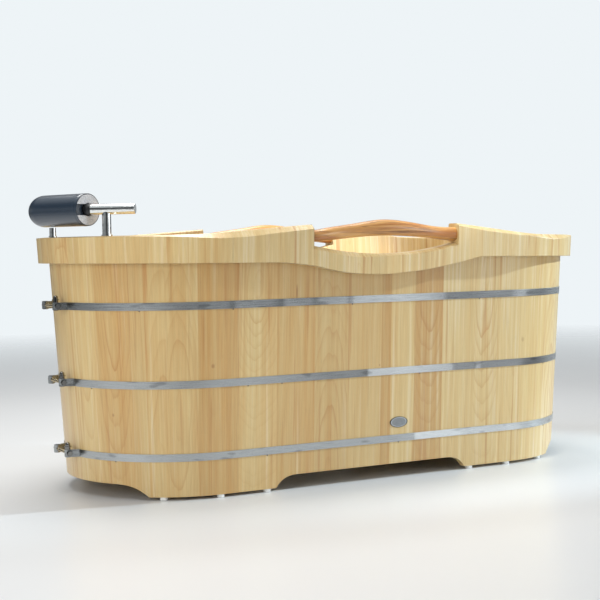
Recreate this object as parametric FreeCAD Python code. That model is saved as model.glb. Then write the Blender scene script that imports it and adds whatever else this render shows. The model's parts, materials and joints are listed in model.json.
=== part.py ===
import FreeCAD, Part
import math
import os

from FreeCAD import Vector

# A free-standing bathtub of upright wooden staves held by three steel hoops. The head end is at
# minus X, the foot end at plus X, and the near side at minus Y. Heights are measured from the
# floor under the glides, and all lengths are in millimetres.

# Body of staves: an oval with straight sides and half-round ends that leans out as it rises
body_half_length = 727.0
body_half_width = 312.0
body_size_height = 550.0
wall_lean_share = 0.0588
stave_thickness = 20.0
side_stave_shares = (0.0, 0.155, 0.28, 0.39, 0.506, 0.624, 0.727, 0.845, 1.0)
end_stave_shares = (0.0, 0.157, 0.248, 0.348, 0.5, 0.652, 0.752, 0.843, 1.0)
stave_top_spare = 20.0
cutter_overrun = 60.0

# Feet: the staves' lower ends are sawn into four long feet with arches between them
foot_height = 8.0
arch_top_height = 36.5
side_arch_end_gap = 140.0
side_arch_centre = -10.0
head_arch_side_gap = 91.0
foot_arch_side_gap = 76.0
arch_corner_length = 58.0
arch_corner_shares = ((0.25, 0.72), (0.5, 1.0))

# Glides: three plastic buttons under each foot, one near each end of it and one between
glide_radius = 9.5
glide_edge = 2.0
glide_pin_radius = 3.0
glide_pin_length = 12.0
glide_pin_clearance = 0.05
glide_side_inset = 20.0
glide_end_inset = 10.3
head_glide_reach = 12.0
foot_glide_reach = -10.0

# Floor: five planks in a groove of the staves, on three cross battens
floor_top_height = 88.0
floor_thickness = 24.0
groove_depth = 6.0
groove_clearance = 0.5
plank_count = 5
batten_width = 50.0
batten_height = 24.0
batten_clearance = 2.0
batten_end_gap = 35.0

# Rim: a ring of upright blocks glued round the top, in two side rails and two end rails. Its
# heights are given as rises over the body's size height.
rim_overhang = 26.5
head_rim_bottom_rise = 6.0
foot_rim_bottom_rise = -6.0
wave_depth = 34.5
wave_half_share = 0.375
wave_centre = -4.0
head_wave_bottom_rise = -1.2
foot_wave_bottom_rise = 2.0
head_rim_top_rise = 67.5
foot_rim_top_rise = 55.0
shoulder_top_rise = 87.0
dip_centre = 5.0
dip_half_share = 0.2746
dip_end_depth = 49.0
dip_sag = 23.5
edge_fall = 10.0
edge_width = 13.0
inner_edge = 3.0
rim_blank_depth = 50.0
head_rise_shares = ((-1.0, 0.0), (-0.718, 0.0), (-0.612, 0.09), (-0.5, 0.4), (-0.401, 0.65), (-0.268, 1.0))
foot_rise_shares = ((0.281, 1.0), (0.376, 0.73), (0.46, 0.48), (0.544, 0.24),
                    (0.64, 0.06), (0.777, 0.0), (1.0, 0.0))
head_fall_shares = ((-1.0, 0.12), (-0.813, 0.34), (-0.708, 0.5), (-0.612, 1.1),
                    (-0.5, 1.55), (-0.401, 1.3), (-0.268, 1.05))
foot_fall_shares = ((0.281, 0.6), (0.386, 0.95), (0.474, 0.9), (0.566, 0.85), (0.701, 1.1),
                    (0.8, 1.05), (0.87, 0.5), (0.91, 0.2), (1.0, 0.15))
wave_shares = ((-0.83, 0.13), (-0.66, 0.33), (-0.487, 0.65), (-0.312, 0.87), (-0.135, 0.98), (0.045, 1.0),
               (0.227, 0.9), (0.415, 0.78), (0.605, 0.55), (0.8, 0.27))
rail_station_count = 7
end_station_count = 13

# Handles: a bar carved like a branch bridges each dip, with a tenon at both ends
handle_end_depth = 27.0
handle_rise = 18.0
handle_half_height = 15.5
handle_half_depth = 16.5
tenon_radius = 9.0
tenon_length = 24.0
tenon_clearance = 0.1
handle_places_share = (-1.0, -0.82, -0.6, -0.35, -0.05, 0.25, 0.5, 0.72, 0.88, 1.0)
handle_rise_shares = (0.03, 0.14, 0.42, 0.72, 1.0, 0.86, 0.55, 0.24, 0.05, 0.0)
handle_height_shares = (0.97, 1.0, 1.06, 1.14, 1.3, 1.24, 1.1, 1.04, 1.1, 1.14)
handle_depth_shares = (1.05, 1.0, 0.95, 1.05, 1.12, 1.04, 0.96, 1.0, 1.08, 1.12)
handle_sway_shares = (0.0, 0.08, -0.1, -0.14, 0.04, 0.16, 0.1, -0.06, -0.04, 0.0)
handle_outline_shares = (1.0, 1.03, 0.98, 1.02, 0.99, 1.03, 0.97, 1.02)

# Hoops: three steel bands round the staves, open at the head end
hoop_height_shares = (0.82455, 0.4929, 0.1829)
hoop_names = ("upper", "middle", "lower")
hoop_width = 18.0
hoop_thickness = 1.5
hoop_clearance = 0.1

# Hoop tensioners: the band's ends are rolled round two barrels, and a bolt draws these together
clamp_angle = 179.0
barrel_reach = 43.0
barrel_stand_off = 19.0
loop_radius = 8.0
loop_wall = 1.5
barrel_radius = 6.3
barrel_overrun = 1.0
strap_foot_reach = 57.0
strap_sink = 0.9
stud_height = 6.0
washer_radius = 8.8
washer_thickness = 1.5
dome_radius = 5.8
dome_height = 9.5
bolt_radius = 3.0
bolt_clearance = 0.08
bolt_window = 1.2
bolt_tail = 16.0
bolt_shoulder = 5.5
bolt_head_radius = 6.5
bolt_head_height = 5.0

# Blank oval plate on the near side
plate_place = 59.5
plate_height = 141.0
plate_half_length = 25.5
plate_half_height = 13.5
plate_thickness = 1.6
plate_step = 0.6
plate_border = 2.5

# Headrest: a round post turns in a socket in the rim and carries a bar, and an elbow at the bar's
# far end carries the axle of a padded roll
post_angle = 37.0
post_set_out = -8.5
peg_angle = 6.5
peg_set_out = 12.0
socket_radius = 11.8
socket_flange_radius = 12.6
socket_flange_height = 3.0
socket_depth = 44.0
socket_clearance = 0.1
post_radius = 10.5
post_clearance = 0.05
socket_floor = 2.0
post_bottom_gap = 1.0
bar_rise = 61.5
bar_radius = 12.0
bar_turn_out = 26.5
bar_near_reach = 68.0
bar_near_rounding = 1.5
bar_seat_clearance = 0.05
bar_bore_radius = 9.5
bar_bore_depth = 14.0
elbow_place = 41.0
elbow_radius = 14.0
elbow_sleeve_length = 4.6
elbow_neck_length = 8.0
elbow_stem_gap = 1.0
axle_radius = 12.0
axle_length = 154.0
roll_set_out = 20.0
roll_near_reach = 5.6
roll_length = 188.0
roll_radius = 39.0
roll_crown = 0.6
roll_near_edge = 4.0
roll_dome_length = 46.0
roll_tip_radius = 30.0
core_radius = 15.0
core_bore_clearance = 0.05
core_near_gap = 0.4
core_end_gap = 8.0
core_cover_clearance = 0.3
disc_radius = 35.5
disc_thickness = 2.5
disc_slot_half_height = 13.0
disc_seat_gap = 0.1
peg_radius = 7.8
peg_flange_radius = 9.5
peg_flange_height = 3.0
peg_spigot_radius = 6.0
peg_spigot_length = 30.0
peg_roll_gap = 0.3

# Waste: a flanged outlet in the floor at the foot end, with a pop-up plug
waste_end_gap = 125.0
waste_flange_radius = 35.0
waste_flange_height = 5.5
waste_flange_sink = 4.0
waste_seat_radius = 27.0
waste_seat_depth = 4.5
waste_neck_radius = 25.0
waste_neck_spare = 3.0
waste_tail_radius = 23.9
waste_tail_bottom = 26.0
waste_bore_radius = 20.5
waste_hole_clearance = 0.6
waste_hub_radius = 8.5
waste_hub_height = 8.0
waste_hub_drop = 22.0
waste_web_width = 3.0
nut_radius = 33.0
nut_height = 9.0
nut_clearance = 0.1
drain_plug_radius = 26.5
drain_plug_height = 4.5
drain_plug_lift = 0.2
drain_stem_radius = 5.0
drain_stem_clearance = 0.06
drain_stem_tail = 14.0

quarter_turn = 90.0
half_turn = 2 * quarter_turn
end_centre = body_half_length - body_half_width
side_arch_half_length = end_centre - side_arch_end_gap
head_arch_half_width = body_half_width - head_arch_side_gap
foot_arch_half_width = body_half_width - foot_arch_side_gap
batten_places = (batten_end_gap - end_centre, 0.0, end_centre - batten_end_gap)
waste_place = end_centre - waste_end_gap
floor_bottom_height = floor_top_height - floor_thickness
head_rim_bottom = body_size_height + head_rim_bottom_rise
foot_rim_bottom = body_size_height + foot_rim_bottom_rise
head_wave_bottom = body_size_height + head_wave_bottom_rise
foot_wave_bottom = body_size_height + foot_wave_bottom_rise
head_rim_top = body_size_height + head_rim_top_rise
foot_rim_top = body_size_height + foot_rim_top_rise
shoulder_top = body_size_height + shoulder_top_rise
rim_blank_bottom = body_size_height - rim_blank_depth
dip_end_top = shoulder_top - dip_end_depth
handle_end_height = shoulder_top - handle_end_depth
bar_height = head_rim_top + bar_rise
hoop_heights = [share * body_size_height for share in hoop_height_shares]
rim_half_length = body_half_length + wall_lean_share * head_rim_top_rise + rim_overhang
wave_half_length = wave_half_share * rim_half_length
dip_half_length = dip_half_share * rim_half_length


def wall_at(height):
    """Distance from the oval's spine to the staves' outer face at a height."""
    return body_half_width + wall_lean_share * (height - body_size_height)


def inside_at(height):
    """Distance from the oval's spine to the staves' inner face at a height."""
    return wall_at(height) - stave_thickness


def follow(knots, place):
    """Value of a smooth curve through knots of place and value, level at its turning points."""
    if place <= knots[0][0]:
        return knots[0][1]
    for index in range(len(knots) - 1):
        (low, start), (high, stop) = knots[index], knots[index + 1]
        if place <= high:
            span = high - low
            before = knots[max(index - 1, 0)]
            after = knots[min(index + 2, len(knots) - 1)]
            rise_in = (stop - before[1]) / (high - before[0]) * span
            rise_out = (after[1] - start) / (after[0] - low) * span
            t = (place - low) / span
            steady = start * (1 - t) ** 2 * (1 + 2 * t) + stop * t ** 2 * (3 - 2 * t)
            return steady + rise_in * t * (1 - t) ** 2 - rise_out * t ** 2 * (1 - t)
    return knots[-1][1]


def polygon(points):
    return Part.makePolygon(points + [points[0]])


def straight_wall(section, side, start, stop):
    """A section of (distance, height) points drawn along one straight side."""
    points = [Vector(start, side * distance, height) for distance, height in section]
    return Part.Face(polygon(points)).extrude(Vector(stop - start, 0, 0))


def end_axis(start_angle, stop_angle):
    """Place along X of the upright axis of the end that these angles lie round."""
    return math.copysign(end_centre, math.cos(math.radians((start_angle + stop_angle) / 2)))


def round_wall(section, start_angle, stop_angle):
    """A section of (distance, height) points turned about the end's upright axis."""
    angle = math.radians(start_angle)
    centre = end_axis(start_angle, stop_angle)
    points = [Vector(centre + distance * math.cos(angle), distance * math.sin(angle), height)
              for distance, height in section]
    return Part.Face(polygon(points)).revolve(Vector(centre, 0, 0), Vector(0, 0, 1),
                                              stop_angle - start_angle)


def rod(start, direction, radius, length):
    return Part.makeCylinder(radius, length, start, direction)


def upright_prism(edges, low, high):
    """A closed outline in the X-Z plane, run through the tub from side to side."""
    face = Part.Face(Part.Wire(edges))
    face.translate(Vector(0, low, 0))
    return face.extrude(Vector(0, high - low, 0))


def wave_edges():
    """The rim's lower edge along X: straight ends and a wave between, with a sharp foot corner."""
    head = Vector(-rim_half_length - cutter_overrun, 0, head_rim_bottom)
    wave_start = Vector(wave_centre - wave_half_length, 0, head_wave_bottom)
    wave_stop = Vector(wave_centre + wave_half_length, 0, foot_wave_bottom)
    foot = Vector(rim_half_length + cutter_overrun, 0, foot_rim_bottom)
    middle = [Vector(wave_centre + place * wave_half_length, 0, head_wave_bottom - depth * wave_depth)
              for place, depth in wave_shares]
    wave = Part.BSplineCurve()
    wave.interpolate([wave_start] + middle + [wave_stop])
    return [Part.LineSegment(head, wave_start).toShape(), wave.toShape(),
            Part.LineSegment(wave_stop, foot).toShape()], head, foot


def wave_block(limit):
    """All that lies between the rim's lower edge and a level above or below it."""
    edges, head, foot = wave_edges()
    far_corner = Vector(foot.x, 0, limit)
    near_corner = Vector(head.x, 0, limit)
    edges += [Part.LineSegment(foot, far_corner).toShape(),
              Part.LineSegment(far_corner, near_corner).toShape(),
              Part.LineSegment(near_corner, head).toShape()]
    reach = rim_half_length + cutter_overrun
    return upright_prism(edges, -reach, reach)


def arch_face(half_span, centre):
    """An arch outline in the X-Z plane that opens downwards, with swept corners."""
    low = foot_height - cutter_overrun
    corners = []
    for side in (-1, 1):
        foot_corner = Vector(centre + side * half_span, 0, foot_height)
        poles = [foot_corner]
        for along, up in arch_corner_shares:
            poles.append(Vector(centre + side * (half_span - along * arch_corner_length), 0,
                                foot_height + up * (arch_top_height - foot_height)))
        poles.append(Vector(centre + side * (half_span - arch_corner_length), 0, arch_top_height))
        curve = Part.BezierCurve()
        curve.setPoles(poles)
        corners.append((foot_corner, curve.toShape(), poles[-1]))
    (left_foot, left_curve, left_top), (right_foot, right_curve, right_top) = corners
    left_low = Vector(left_foot.x, 0, low)
    right_low = Vector(right_foot.x, 0, low)
    edges = [Part.LineSegment(left_low, left_foot).toShape(), left_curve,
             Part.LineSegment(left_top, right_top).toShape(), right_curve,
             Part.LineSegment(right_foot, right_low).toShape(),
             Part.LineSegment(right_low, left_low).toShape()]
    return Part.Face(Part.Wire(Part.__sortEdges__(edges)))


def arch_cutters():
    """One arch through both sides of the tub and one through each end."""
    reach = rim_half_length + cutter_overrun
    sides = arch_face(side_arch_half_length, side_arch_centre)
    sides.translate(Vector(0, -reach, 0))
    cutters = [sides.extrude(Vector(0, 2 * reach, 0))]
    for end, half_width in ((-1, head_arch_half_width), (1, foot_arch_half_width)):
        face = arch_face(half_width, 0)
        face.rotate(Vector(0, 0, 0), Vector(0, 0, 1), quarter_turn)
        cutters.append(face.extrude(Vector(end * reach, 0, 0)))
    return cutters


def staves():
    """Upright staves with a groove for the floor, sawn to the rim's wave and to the arches."""
    top = body_size_height + stave_top_spare
    groove = inside_at(floor_bottom_height) + groove_depth
    section = [(wall_at(foot_height), foot_height), (wall_at(top), top), (inside_at(top), top),
               (inside_at(floor_top_height), floor_top_height), (groove, floor_top_height),
               (groove, floor_bottom_height), (inside_at(floor_bottom_height), floor_bottom_height),
               (inside_at(foot_height), foot_height)]
    cutters = [wave_block(top + cutter_overrun)] + arch_cutters()
    pieces = {}
    joints = [(2 * share - 1) * end_centre for share in side_stave_shares]
    for index, (start, stop) in enumerate(zip(joints, joints[1:])):
        pieces[f"stave_near_{index + 1}"] = straight_wall(section, -1, start, stop)
        pieces[f"stave_far_{index + 1}"] = straight_wall(section, 1, start, stop)
    turns = [share * half_turn for share in end_stave_shares]
    for index, (start, stop) in enumerate(zip(turns, turns[1:])):
        pieces[f"stave_head_{index + 1}"] = round_wall(section, quarter_turn + start, quarter_turn + stop)
        pieces[f"stave_foot_{index + 1}"] = round_wall(section, start - quarter_turn, stop - quarter_turn)
    for name, piece in pieces.items():
        for cutter in cutters:
            piece = piece.cut(cutter)
        pieces[name] = piece
    return pieces


def oval_slab(half_width, low, high):
    """A level slab of the oval's plan."""
    near = -half_width
    edges = [Part.LineSegment(Vector(-end_centre, near, low), Vector(end_centre, near, low)).toShape(),
             Part.Arc(Vector(end_centre, near, low), Vector(end_centre + half_width, 0, low),
                      Vector(end_centre, half_width, low)).toShape(),
             Part.LineSegment(Vector(end_centre, half_width, low),
                              Vector(-end_centre, half_width, low)).toShape(),
             Part.Arc(Vector(-end_centre, half_width, low), Vector(-end_centre - half_width, 0, low),
                      Vector(-end_centre, near, low)).toShape()]
    return Part.Face(Part.Wire(edges)).extrude(Vector(0, 0, high - low))


def floor_planks():
    """Planks along the tub, cut round to the groove, with the hole for the waste."""
    half_width = inside_at(floor_bottom_height) + groove_depth - groove_clearance
    slab = oval_slab(half_width, floor_bottom_height, floor_top_height)
    hole_radius = waste_neck_radius + waste_hole_clearance
    slab = slab.cut(rod(Vector(waste_place, 0, floor_bottom_height), Vector(0, 0, 1), hole_radius,
                        floor_thickness))
    seat_low = floor_top_height - waste_flange_sink
    slab = slab.cut(rod(Vector(waste_place, 0, seat_low), Vector(0, 0, 1),
                        waste_flange_radius + waste_hole_clearance, waste_flange_sink))
    width = 2 * half_width / plank_count
    reach = rim_half_length
    planks = []
    for index in range(plank_count):
        strip = Part.makeBox(2 * reach, width, floor_thickness,
                             Vector(-reach, -half_width + index * width, floor_bottom_height))
        planks.append(slab.common(strip))
    return Part.makeCompound(planks)


def floor_battens():
    low = floor_bottom_height - batten_height
    half_length = inside_at(low) - batten_clearance
    return Part.makeCompound([
        Part.makeBox(batten_width, 2 * half_length, batten_height,
                     Vector(place - batten_width / 2, -half_length, low))
        for place in batten_places])


def rise_at(place):
    """Height of the rim's top outside the dip, at a place along X."""
    share = place / rim_half_length
    if share < 0:
        return head_rim_top + follow(head_rise_shares, share) * (shoulder_top - head_rim_top)
    return foot_rim_top + follow(foot_rise_shares, share) * (shoulder_top - foot_rim_top)


def fall_at(place):
    """How far the rim's top edge is worked down at the outside."""
    share = place / rim_half_length
    return edge_fall * follow(head_fall_shares if share < 0 else foot_fall_shares, share)


def dip_at(place):
    """Height of the dip's round floor."""
    share = (place - dip_centre) / dip_half_length
    radius = (dip_half_length ** 2 + dip_sag ** 2) / (2 * dip_sag)
    return dip_end_top - dip_sag + radius - math.sqrt(radius ** 2 - (share * dip_half_length) ** 2)


def rim_section(top, fall):
    """The rim's cross-section as (distance, height) points, with its worked outer edge."""
    edge = top - fall
    return [(wall_at(rim_blank_bottom) + rim_overhang, rim_blank_bottom),
            (wall_at(edge) + rim_overhang, edge),
            (wall_at(top) + rim_overhang - edge_width, top),
            (inside_at(top) + inner_edge, top),
            (inside_at(top - inner_edge), top - inner_edge),
            (inside_at(rim_blank_bottom), rim_blank_bottom)]


def rail_length(side, start, stop, top_at):
    """One stretch of a side rail, smooth through its stations."""
    wires = []
    for index in range(rail_station_count):
        place = start + (stop - start) * index / (rail_station_count - 1)
        section = rim_section(top_at(place), fall_at(place))
        wires.append(polygon([Vector(place, side * distance, height) for distance, height in section]))
    return Part.makeLoft(wires, True, False)


def handle_line():
    """The handles' distance from the spine: the middle of the rim beside the dip."""
    return wall_at(dip_end_top) + (rim_overhang - stave_thickness) / 2


def tenon_rod(side, end, radius, length):
    """A round rod from the dip's end wall into the shoulder."""
    start = Vector(dip_centre + end * dip_half_length, side * handle_line(), handle_end_height)
    return rod(start, Vector(end, 0, 0), radius, length)


def side_rail(side, underside):
    """A side rail: a shoulder at each end of the dip and the dip between them."""
    dip_start = dip_centre - dip_half_length
    dip_stop = dip_centre + dip_half_length
    rail = rail_length(side, dip_start, dip_stop, dip_at)
    rail = rail.fuse(rail_length(side, -end_centre, dip_start, rise_at))
    rail = rail.fuse(rail_length(side, dip_stop, end_centre, rise_at))
    for end in (-1, 1):
        rail = rail.cut(tenon_rod(side, end, tenon_radius + tenon_clearance, tenon_length + tenon_clearance))
    return rail.cut(underside)


def end_rail(start_angle, stop_angle, underside):
    """An end rail: half a ring, smooth through its stations."""
    centre = end_axis(start_angle, stop_angle)
    wires = []
    for index in range(end_station_count):
        angle = math.radians(start_angle + (stop_angle - start_angle) * index / (end_station_count - 1))
        place = centre + (wall_at(head_rim_top) + rim_overhang) * math.cos(angle)
        section = rim_section(rise_at(place), fall_at(place))
        wires.append(polygon([Vector(centre + distance * math.cos(angle), distance * math.sin(angle), height)
                              for distance, height in section]))
    return Part.makeLoft(wires, True, False).cut(underside)


def handle(side):
    """A bar like a smoothed branch, lofted through rough ovals, with its two tenons."""
    wires = []
    rows = zip(handle_places_share, handle_rise_shares, handle_height_shares, handle_depth_shares,
               handle_sway_shares)
    for place, rise, high, deep, sway in rows:
        x = dip_centre + place * dip_half_length
        middle_y = side * (handle_line() + sway * handle_half_depth)
        middle_z = handle_end_height + rise * handle_rise
        points = []
        for index, share in enumerate(handle_outline_shares):
            angle = 2 * math.pi * index / len(handle_outline_shares)
            points.append(Vector(x, middle_y + share * deep * handle_half_depth * math.cos(angle),
                                 middle_z + share * high * handle_half_height * math.sin(angle)))
        outline = Part.BSplineCurve()
        outline.interpolate(points, PeriodicFlag=True)
        wires.append(Part.Wire(outline.toShape()))
    bar = Part.makeLoft(wires, True, False)
    for end in (-1, 1):
        bar = bar.fuse(tenon_rod(side, end, tenon_radius, tenon_length))
    return bar


def clamp_place(height, along, out, up):
    """A point by a hoop's tensioner: along the bolt, out from the band, and up."""
    angle = math.radians(clamp_angle)
    distance = wall_at(height) + hoop_clearance + out
    return Vector(-end_centre + distance * math.cos(angle) - along * math.sin(angle),
                  distance * math.sin(angle) + along * math.cos(angle), height + up)


def clamp_direction():
    angle = math.radians(clamp_angle)
    return Vector(-math.sin(angle), math.cos(angle), 0)


def band_drop(height, along):
    """How far the round band lies behind its crown, that far along the bolt."""
    radius = wall_at(height) + hoop_clearance
    return radius - math.sqrt(radius ** 2 - along ** 2)


def hoop(height):
    """A band round the staves, with each end bent out and rolled into a loop."""
    low = height - hoop_width / 2
    high = height + hoop_width / 2
    inner = hoop_clearance
    outer = hoop_clearance + hoop_thickness
    section = [(wall_at(low) + inner, low), (wall_at(high) + inner, high),
               (wall_at(high) + outer, high), (wall_at(low) + outer, low)]
    gap = math.degrees(math.asin(strap_foot_reach / wall_at(height)))
    band = straight_wall(section, -1, -end_centre, end_centre)
    for piece in (straight_wall(section, 1, -end_centre, end_centre),
                  round_wall(section, -quarter_turn, quarter_turn),
                  round_wall(section, quarter_turn, clamp_angle - gap),
                  round_wall(section, clamp_angle + gap, quarter_turn + half_turn)):
        band = band.fuse(piece)
    half = hoop_width / 2
    drop = band_drop(height, strap_foot_reach)
    lean = wall_lean_share * half
    for end in (-1, 1):
        centre = clamp_place(height, end * barrel_reach, barrel_stand_off, -half)
        loop = rod(centre, Vector(0, 0, 1), loop_radius, hoop_width)
        outline = [(strap_foot_reach - hoop_thickness, lean - drop + hoop_thickness / 2),
                   (strap_foot_reach + hoop_thickness, lean - drop - hoop_clearance),
                   (strap_foot_reach + hoop_thickness, lean - drop + strap_sink),
                   (barrel_reach + loop_radius, barrel_stand_off),
                   (barrel_reach + loop_radius - loop_wall, barrel_stand_off)]
        strap = Part.Face(polygon([clamp_place(height, end * along, out, -half)
                                   for along, out in outline])).extrude(Vector(0, 0, hoop_width))
        loop = loop.fuse(strap)
        loop = loop.cut(rod(centre, Vector(0, 0, 1), loop_radius - loop_wall, hoop_width))
        band = band.fuse(loop)
    window = rod(clamp_place(height, -strap_foot_reach, barrel_stand_off, 0), clamp_direction(),
                 bolt_radius + bolt_window, 2 * strap_foot_reach)
    return band.cut(window)


def barrels(height):
    """The two barrels of a tensioner; the near one ends in a stud with a washer and a domed nut."""
    half = hoop_width / 2
    bore = rod(clamp_place(height, -barrel_reach - loop_radius, barrel_stand_off, 0), clamp_direction(),
               bolt_radius + bolt_clearance, 2 * (barrel_reach + loop_radius))
    low = -half - barrel_overrun
    far_barrel = rod(clamp_place(height, -barrel_reach, barrel_stand_off, low), Vector(0, 0, 1),
                     barrel_radius, hoop_width + 2 * barrel_overrun)
    near_top = half + stud_height
    near_barrel = rod(clamp_place(height, barrel_reach, barrel_stand_off, low), Vector(0, 0, 1),
                      barrel_radius, near_top - low)
    washer = rod(clamp_place(height, barrel_reach, barrel_stand_off, near_top), Vector(0, 0, 1),
                 washer_radius, washer_thickness)
    dome_low = near_top + washer_thickness
    nut_part = dome_height - dome_radius
    dome = rod(clamp_place(height, barrel_reach, barrel_stand_off, dome_low), Vector(0, 0, 1),
               dome_radius, nut_part)
    cap_place = clamp_place(height, barrel_reach, barrel_stand_off, dome_low + nut_part)
    cap = Part.makeSphere(dome_radius, cap_place, Vector(0, 0, 1), 0, quarter_turn, 2 * half_turn)
    near_barrel = near_barrel.fuse(washer).fuse(dome).fuse(cap)
    return [far_barrel.cut(bore), near_barrel.cut(bore)]


def tension_bolt(height):
    """A bolt across both barrels, with a six-sided head beyond the near one."""
    start = clamp_place(height, -barrel_reach - bolt_tail, barrel_stand_off, 0)
    head_place = barrel_reach + loop_radius + bolt_shoulder
    shank = rod(start, clamp_direction(), bolt_radius, barrel_reach + bolt_tail + head_place)
    base = clamp_place(height, head_place, barrel_stand_off, 0)
    corners = []
    for index in range(6):
        angle = math.radians(60 * index)
        corners.append(clamp_place(height, head_place, barrel_stand_off + bolt_head_radius * math.cos(angle),
                                   bolt_head_radius * math.sin(angle)))
    head = Part.Face(polygon(corners)).extrude(clamp_direction() * bolt_head_height)
    collar = rod(base - clamp_direction() * bolt_shoulder / 2, clamp_direction(), bolt_head_radius,
                 bolt_shoulder / 2)
    return shank.fuse(head).fuse(collar)


def oval_plate():
    """A blank oval plate with a raised border, set on the sloping near side."""
    rounds = []
    for inset, thickness in ((0, plate_thickness), (plate_border, plate_step)):
        outline = Part.Ellipse(Vector(0, 0, 0), plate_half_length - inset, plate_half_height - inset)
        rounds.append(Part.Face(Part.Wire(outline.toShape())).extrude(Vector(0, 0, thickness)))
    recess = rounds[1]
    recess.translate(Vector(0, 0, plate_thickness - plate_step))
    plate = rounds[0].cut(recess)
    lean = math.degrees(math.atan(wall_lean_share))
    plate.rotate(Vector(0, 0, 0), Vector(1, 0, 0), quarter_turn + lean)
    plate.translate(Vector(plate_place, -wall_at(plate_height), plate_height))
    return plate


def glide_spots():
    """Places of the glides, in the middle of the staves' lower ends, on both sides of the tub."""
    line = wall_at(foot_height) - stave_thickness / 2
    spots = []
    for end, arch_half_width, reach in ((-1, head_arch_half_width, head_glide_reach),
                                        (1, foot_arch_half_width, foot_glide_reach)):
        spots.append((side_arch_centre + end * (side_arch_half_length + glide_side_inset), line))
        turn = max(reach, 0) / line
        spots.append((end * (end_centre + min(reach, 0) + line * math.sin(turn)), line * math.cos(turn)))
        last = arch_half_width + glide_end_inset
        spots.append((end * (end_centre + math.sqrt(line ** 2 - last ** 2)), last))
    return [Vector(x, side * y, 0) for x, y in spots for side in (-1, 1)]


def glides():
    """Round plastic buttons, each with a pin up into its stave."""
    up = Vector(0, 0, 1)
    pieces = []
    for spot in glide_spots():
        button = rod(spot, up, glide_radius, foot_height)
        lower = [edge for edge in button.Edges if edge.Closed and edge.BoundBox.ZMax < foot_height / 2]
        button = button.makeFillet(glide_edge, lower)
        pieces.append(button.fuse(rod(spot + up * foot_height, up, glide_pin_radius, glide_pin_length)))
    return pieces


def glide_holes():
    """The holes in the staves for the glides' pins."""
    up = Vector(0, 0, 1)
    return Part.makeCompound([rod(spot + up * foot_height, up, glide_pin_radius + glide_pin_clearance,
                                  glide_pin_length + glide_pin_clearance) for spot in glide_spots()])


def head_rim_spot(angle, set_out, height):
    """A point near the middle of the head end's rim, turned towards the near side and set out."""
    distance = wall_at(head_rim_top) + (rim_overhang - stave_thickness) / 2 + set_out
    turn = math.radians(angle)
    return Vector(-end_centre - distance * math.cos(turn), -distance * math.sin(turn), height)


def post_spot(height):
    """A point on the headrest post's axis."""
    return head_rim_spot(post_angle, post_set_out, height)


def peg_spot(height):
    """A point on the axis of the peg under the roll."""
    return head_rim_spot(peg_angle, peg_set_out, height)


def bar_direction():
    """Level direction of the headrest's bar: from its post to the peg, turned outwards."""
    line = (peg_spot(0) - post_spot(0)).normalize()
    turn = math.radians(bar_turn_out)
    return Vector(line.x * math.cos(turn) - line.y * math.sin(turn),
                  line.x * math.sin(turn) + line.y * math.cos(turn), 0)


def bar_spot(along):
    """A point on the bar's axis, measured from the post."""
    return post_spot(bar_height) + bar_direction() * along


def roll_direction():
    """Level direction of the roll's axis: from the elbow over the rim beside the peg."""
    line = head_rim_spot(peg_angle, roll_set_out, bar_height) - bar_spot(elbow_place)
    return line.normalize()


def roll_spot(along):
    """A point on the roll's axis, measured from the elbow."""
    return bar_spot(elbow_place) + roll_direction() * along


def post_socket():
    """A flanged sleeve let into the rim, in which the post turns."""
    top = post_spot(head_rim_top)
    bottom = post_spot(head_rim_top - socket_depth)
    up = Vector(0, 0, 1)
    socket = rod(bottom, up, socket_radius, socket_depth)
    socket = socket.fuse(rod(top, up, socket_flange_radius, socket_flange_height))
    bore_bottom = bottom + up * socket_floor
    return socket.cut(rod(bore_bottom, up, post_radius + post_clearance, socket_depth + socket_flange_height))


def arm_post():
    """The upright post, hollowed at the top to carry the bar."""
    bottom = head_rim_top - socket_depth + socket_floor + post_bottom_gap
    post = rod(post_spot(bottom), Vector(0, 0, 1), post_radius, bar_height - bottom)
    saddle = rod(bar_spot(-socket_depth), bar_direction(), bar_radius + bar_seat_clearance, 2 * socket_depth)
    return post.cut(saddle)


def arm_bar():
    """The bar, closed and rounded at its near end and bored at its far end for the elbow."""
    far = elbow_place - elbow_sleeve_length
    bar = rod(bar_spot(-bar_near_reach), bar_direction(), bar_radius, bar_near_reach + far)
    middle = bar_spot(0)
    near_edge = [edge for edge in bar.Edges if edge.Closed
                 and (edge.BoundBox.Center - middle).dot(bar_direction()) < 0]
    bar = bar.makeFillet(bar_near_rounding, near_edge)
    return bar.cut(rod(bar_spot(far - bar_bore_depth), bar_direction(), bar_bore_radius, bar_bore_depth))


def arm_elbow():
    """The black elbow: a stem in the bar, a sleeve, the bend, and the neck and axle of the roll."""
    far = elbow_place - elbow_sleeve_length
    stem_length = bar_bore_depth - elbow_stem_gap
    bend = Part.makeSphere(elbow_radius)
    bend.translate(bar_spot(elbow_place))
    bend = bend.fuse(rod(roll_spot(0), roll_direction(), elbow_radius, elbow_neck_length))
    bend = bend.fuse(rod(roll_spot(0), roll_direction(), axle_radius, axle_length))
    bend = bend.cut(rod(bar_spot(far - 2 * elbow_radius), bar_direction(), 2 * elbow_radius, 2 * elbow_radius))
    sleeve = rod(bar_spot(far), bar_direction(), elbow_radius, elbow_sleeve_length)
    stem = rod(bar_spot(far - stem_length), bar_direction(), bar_bore_radius, stem_length)
    return bend.fuse(sleeve).fuse(stem)


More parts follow.
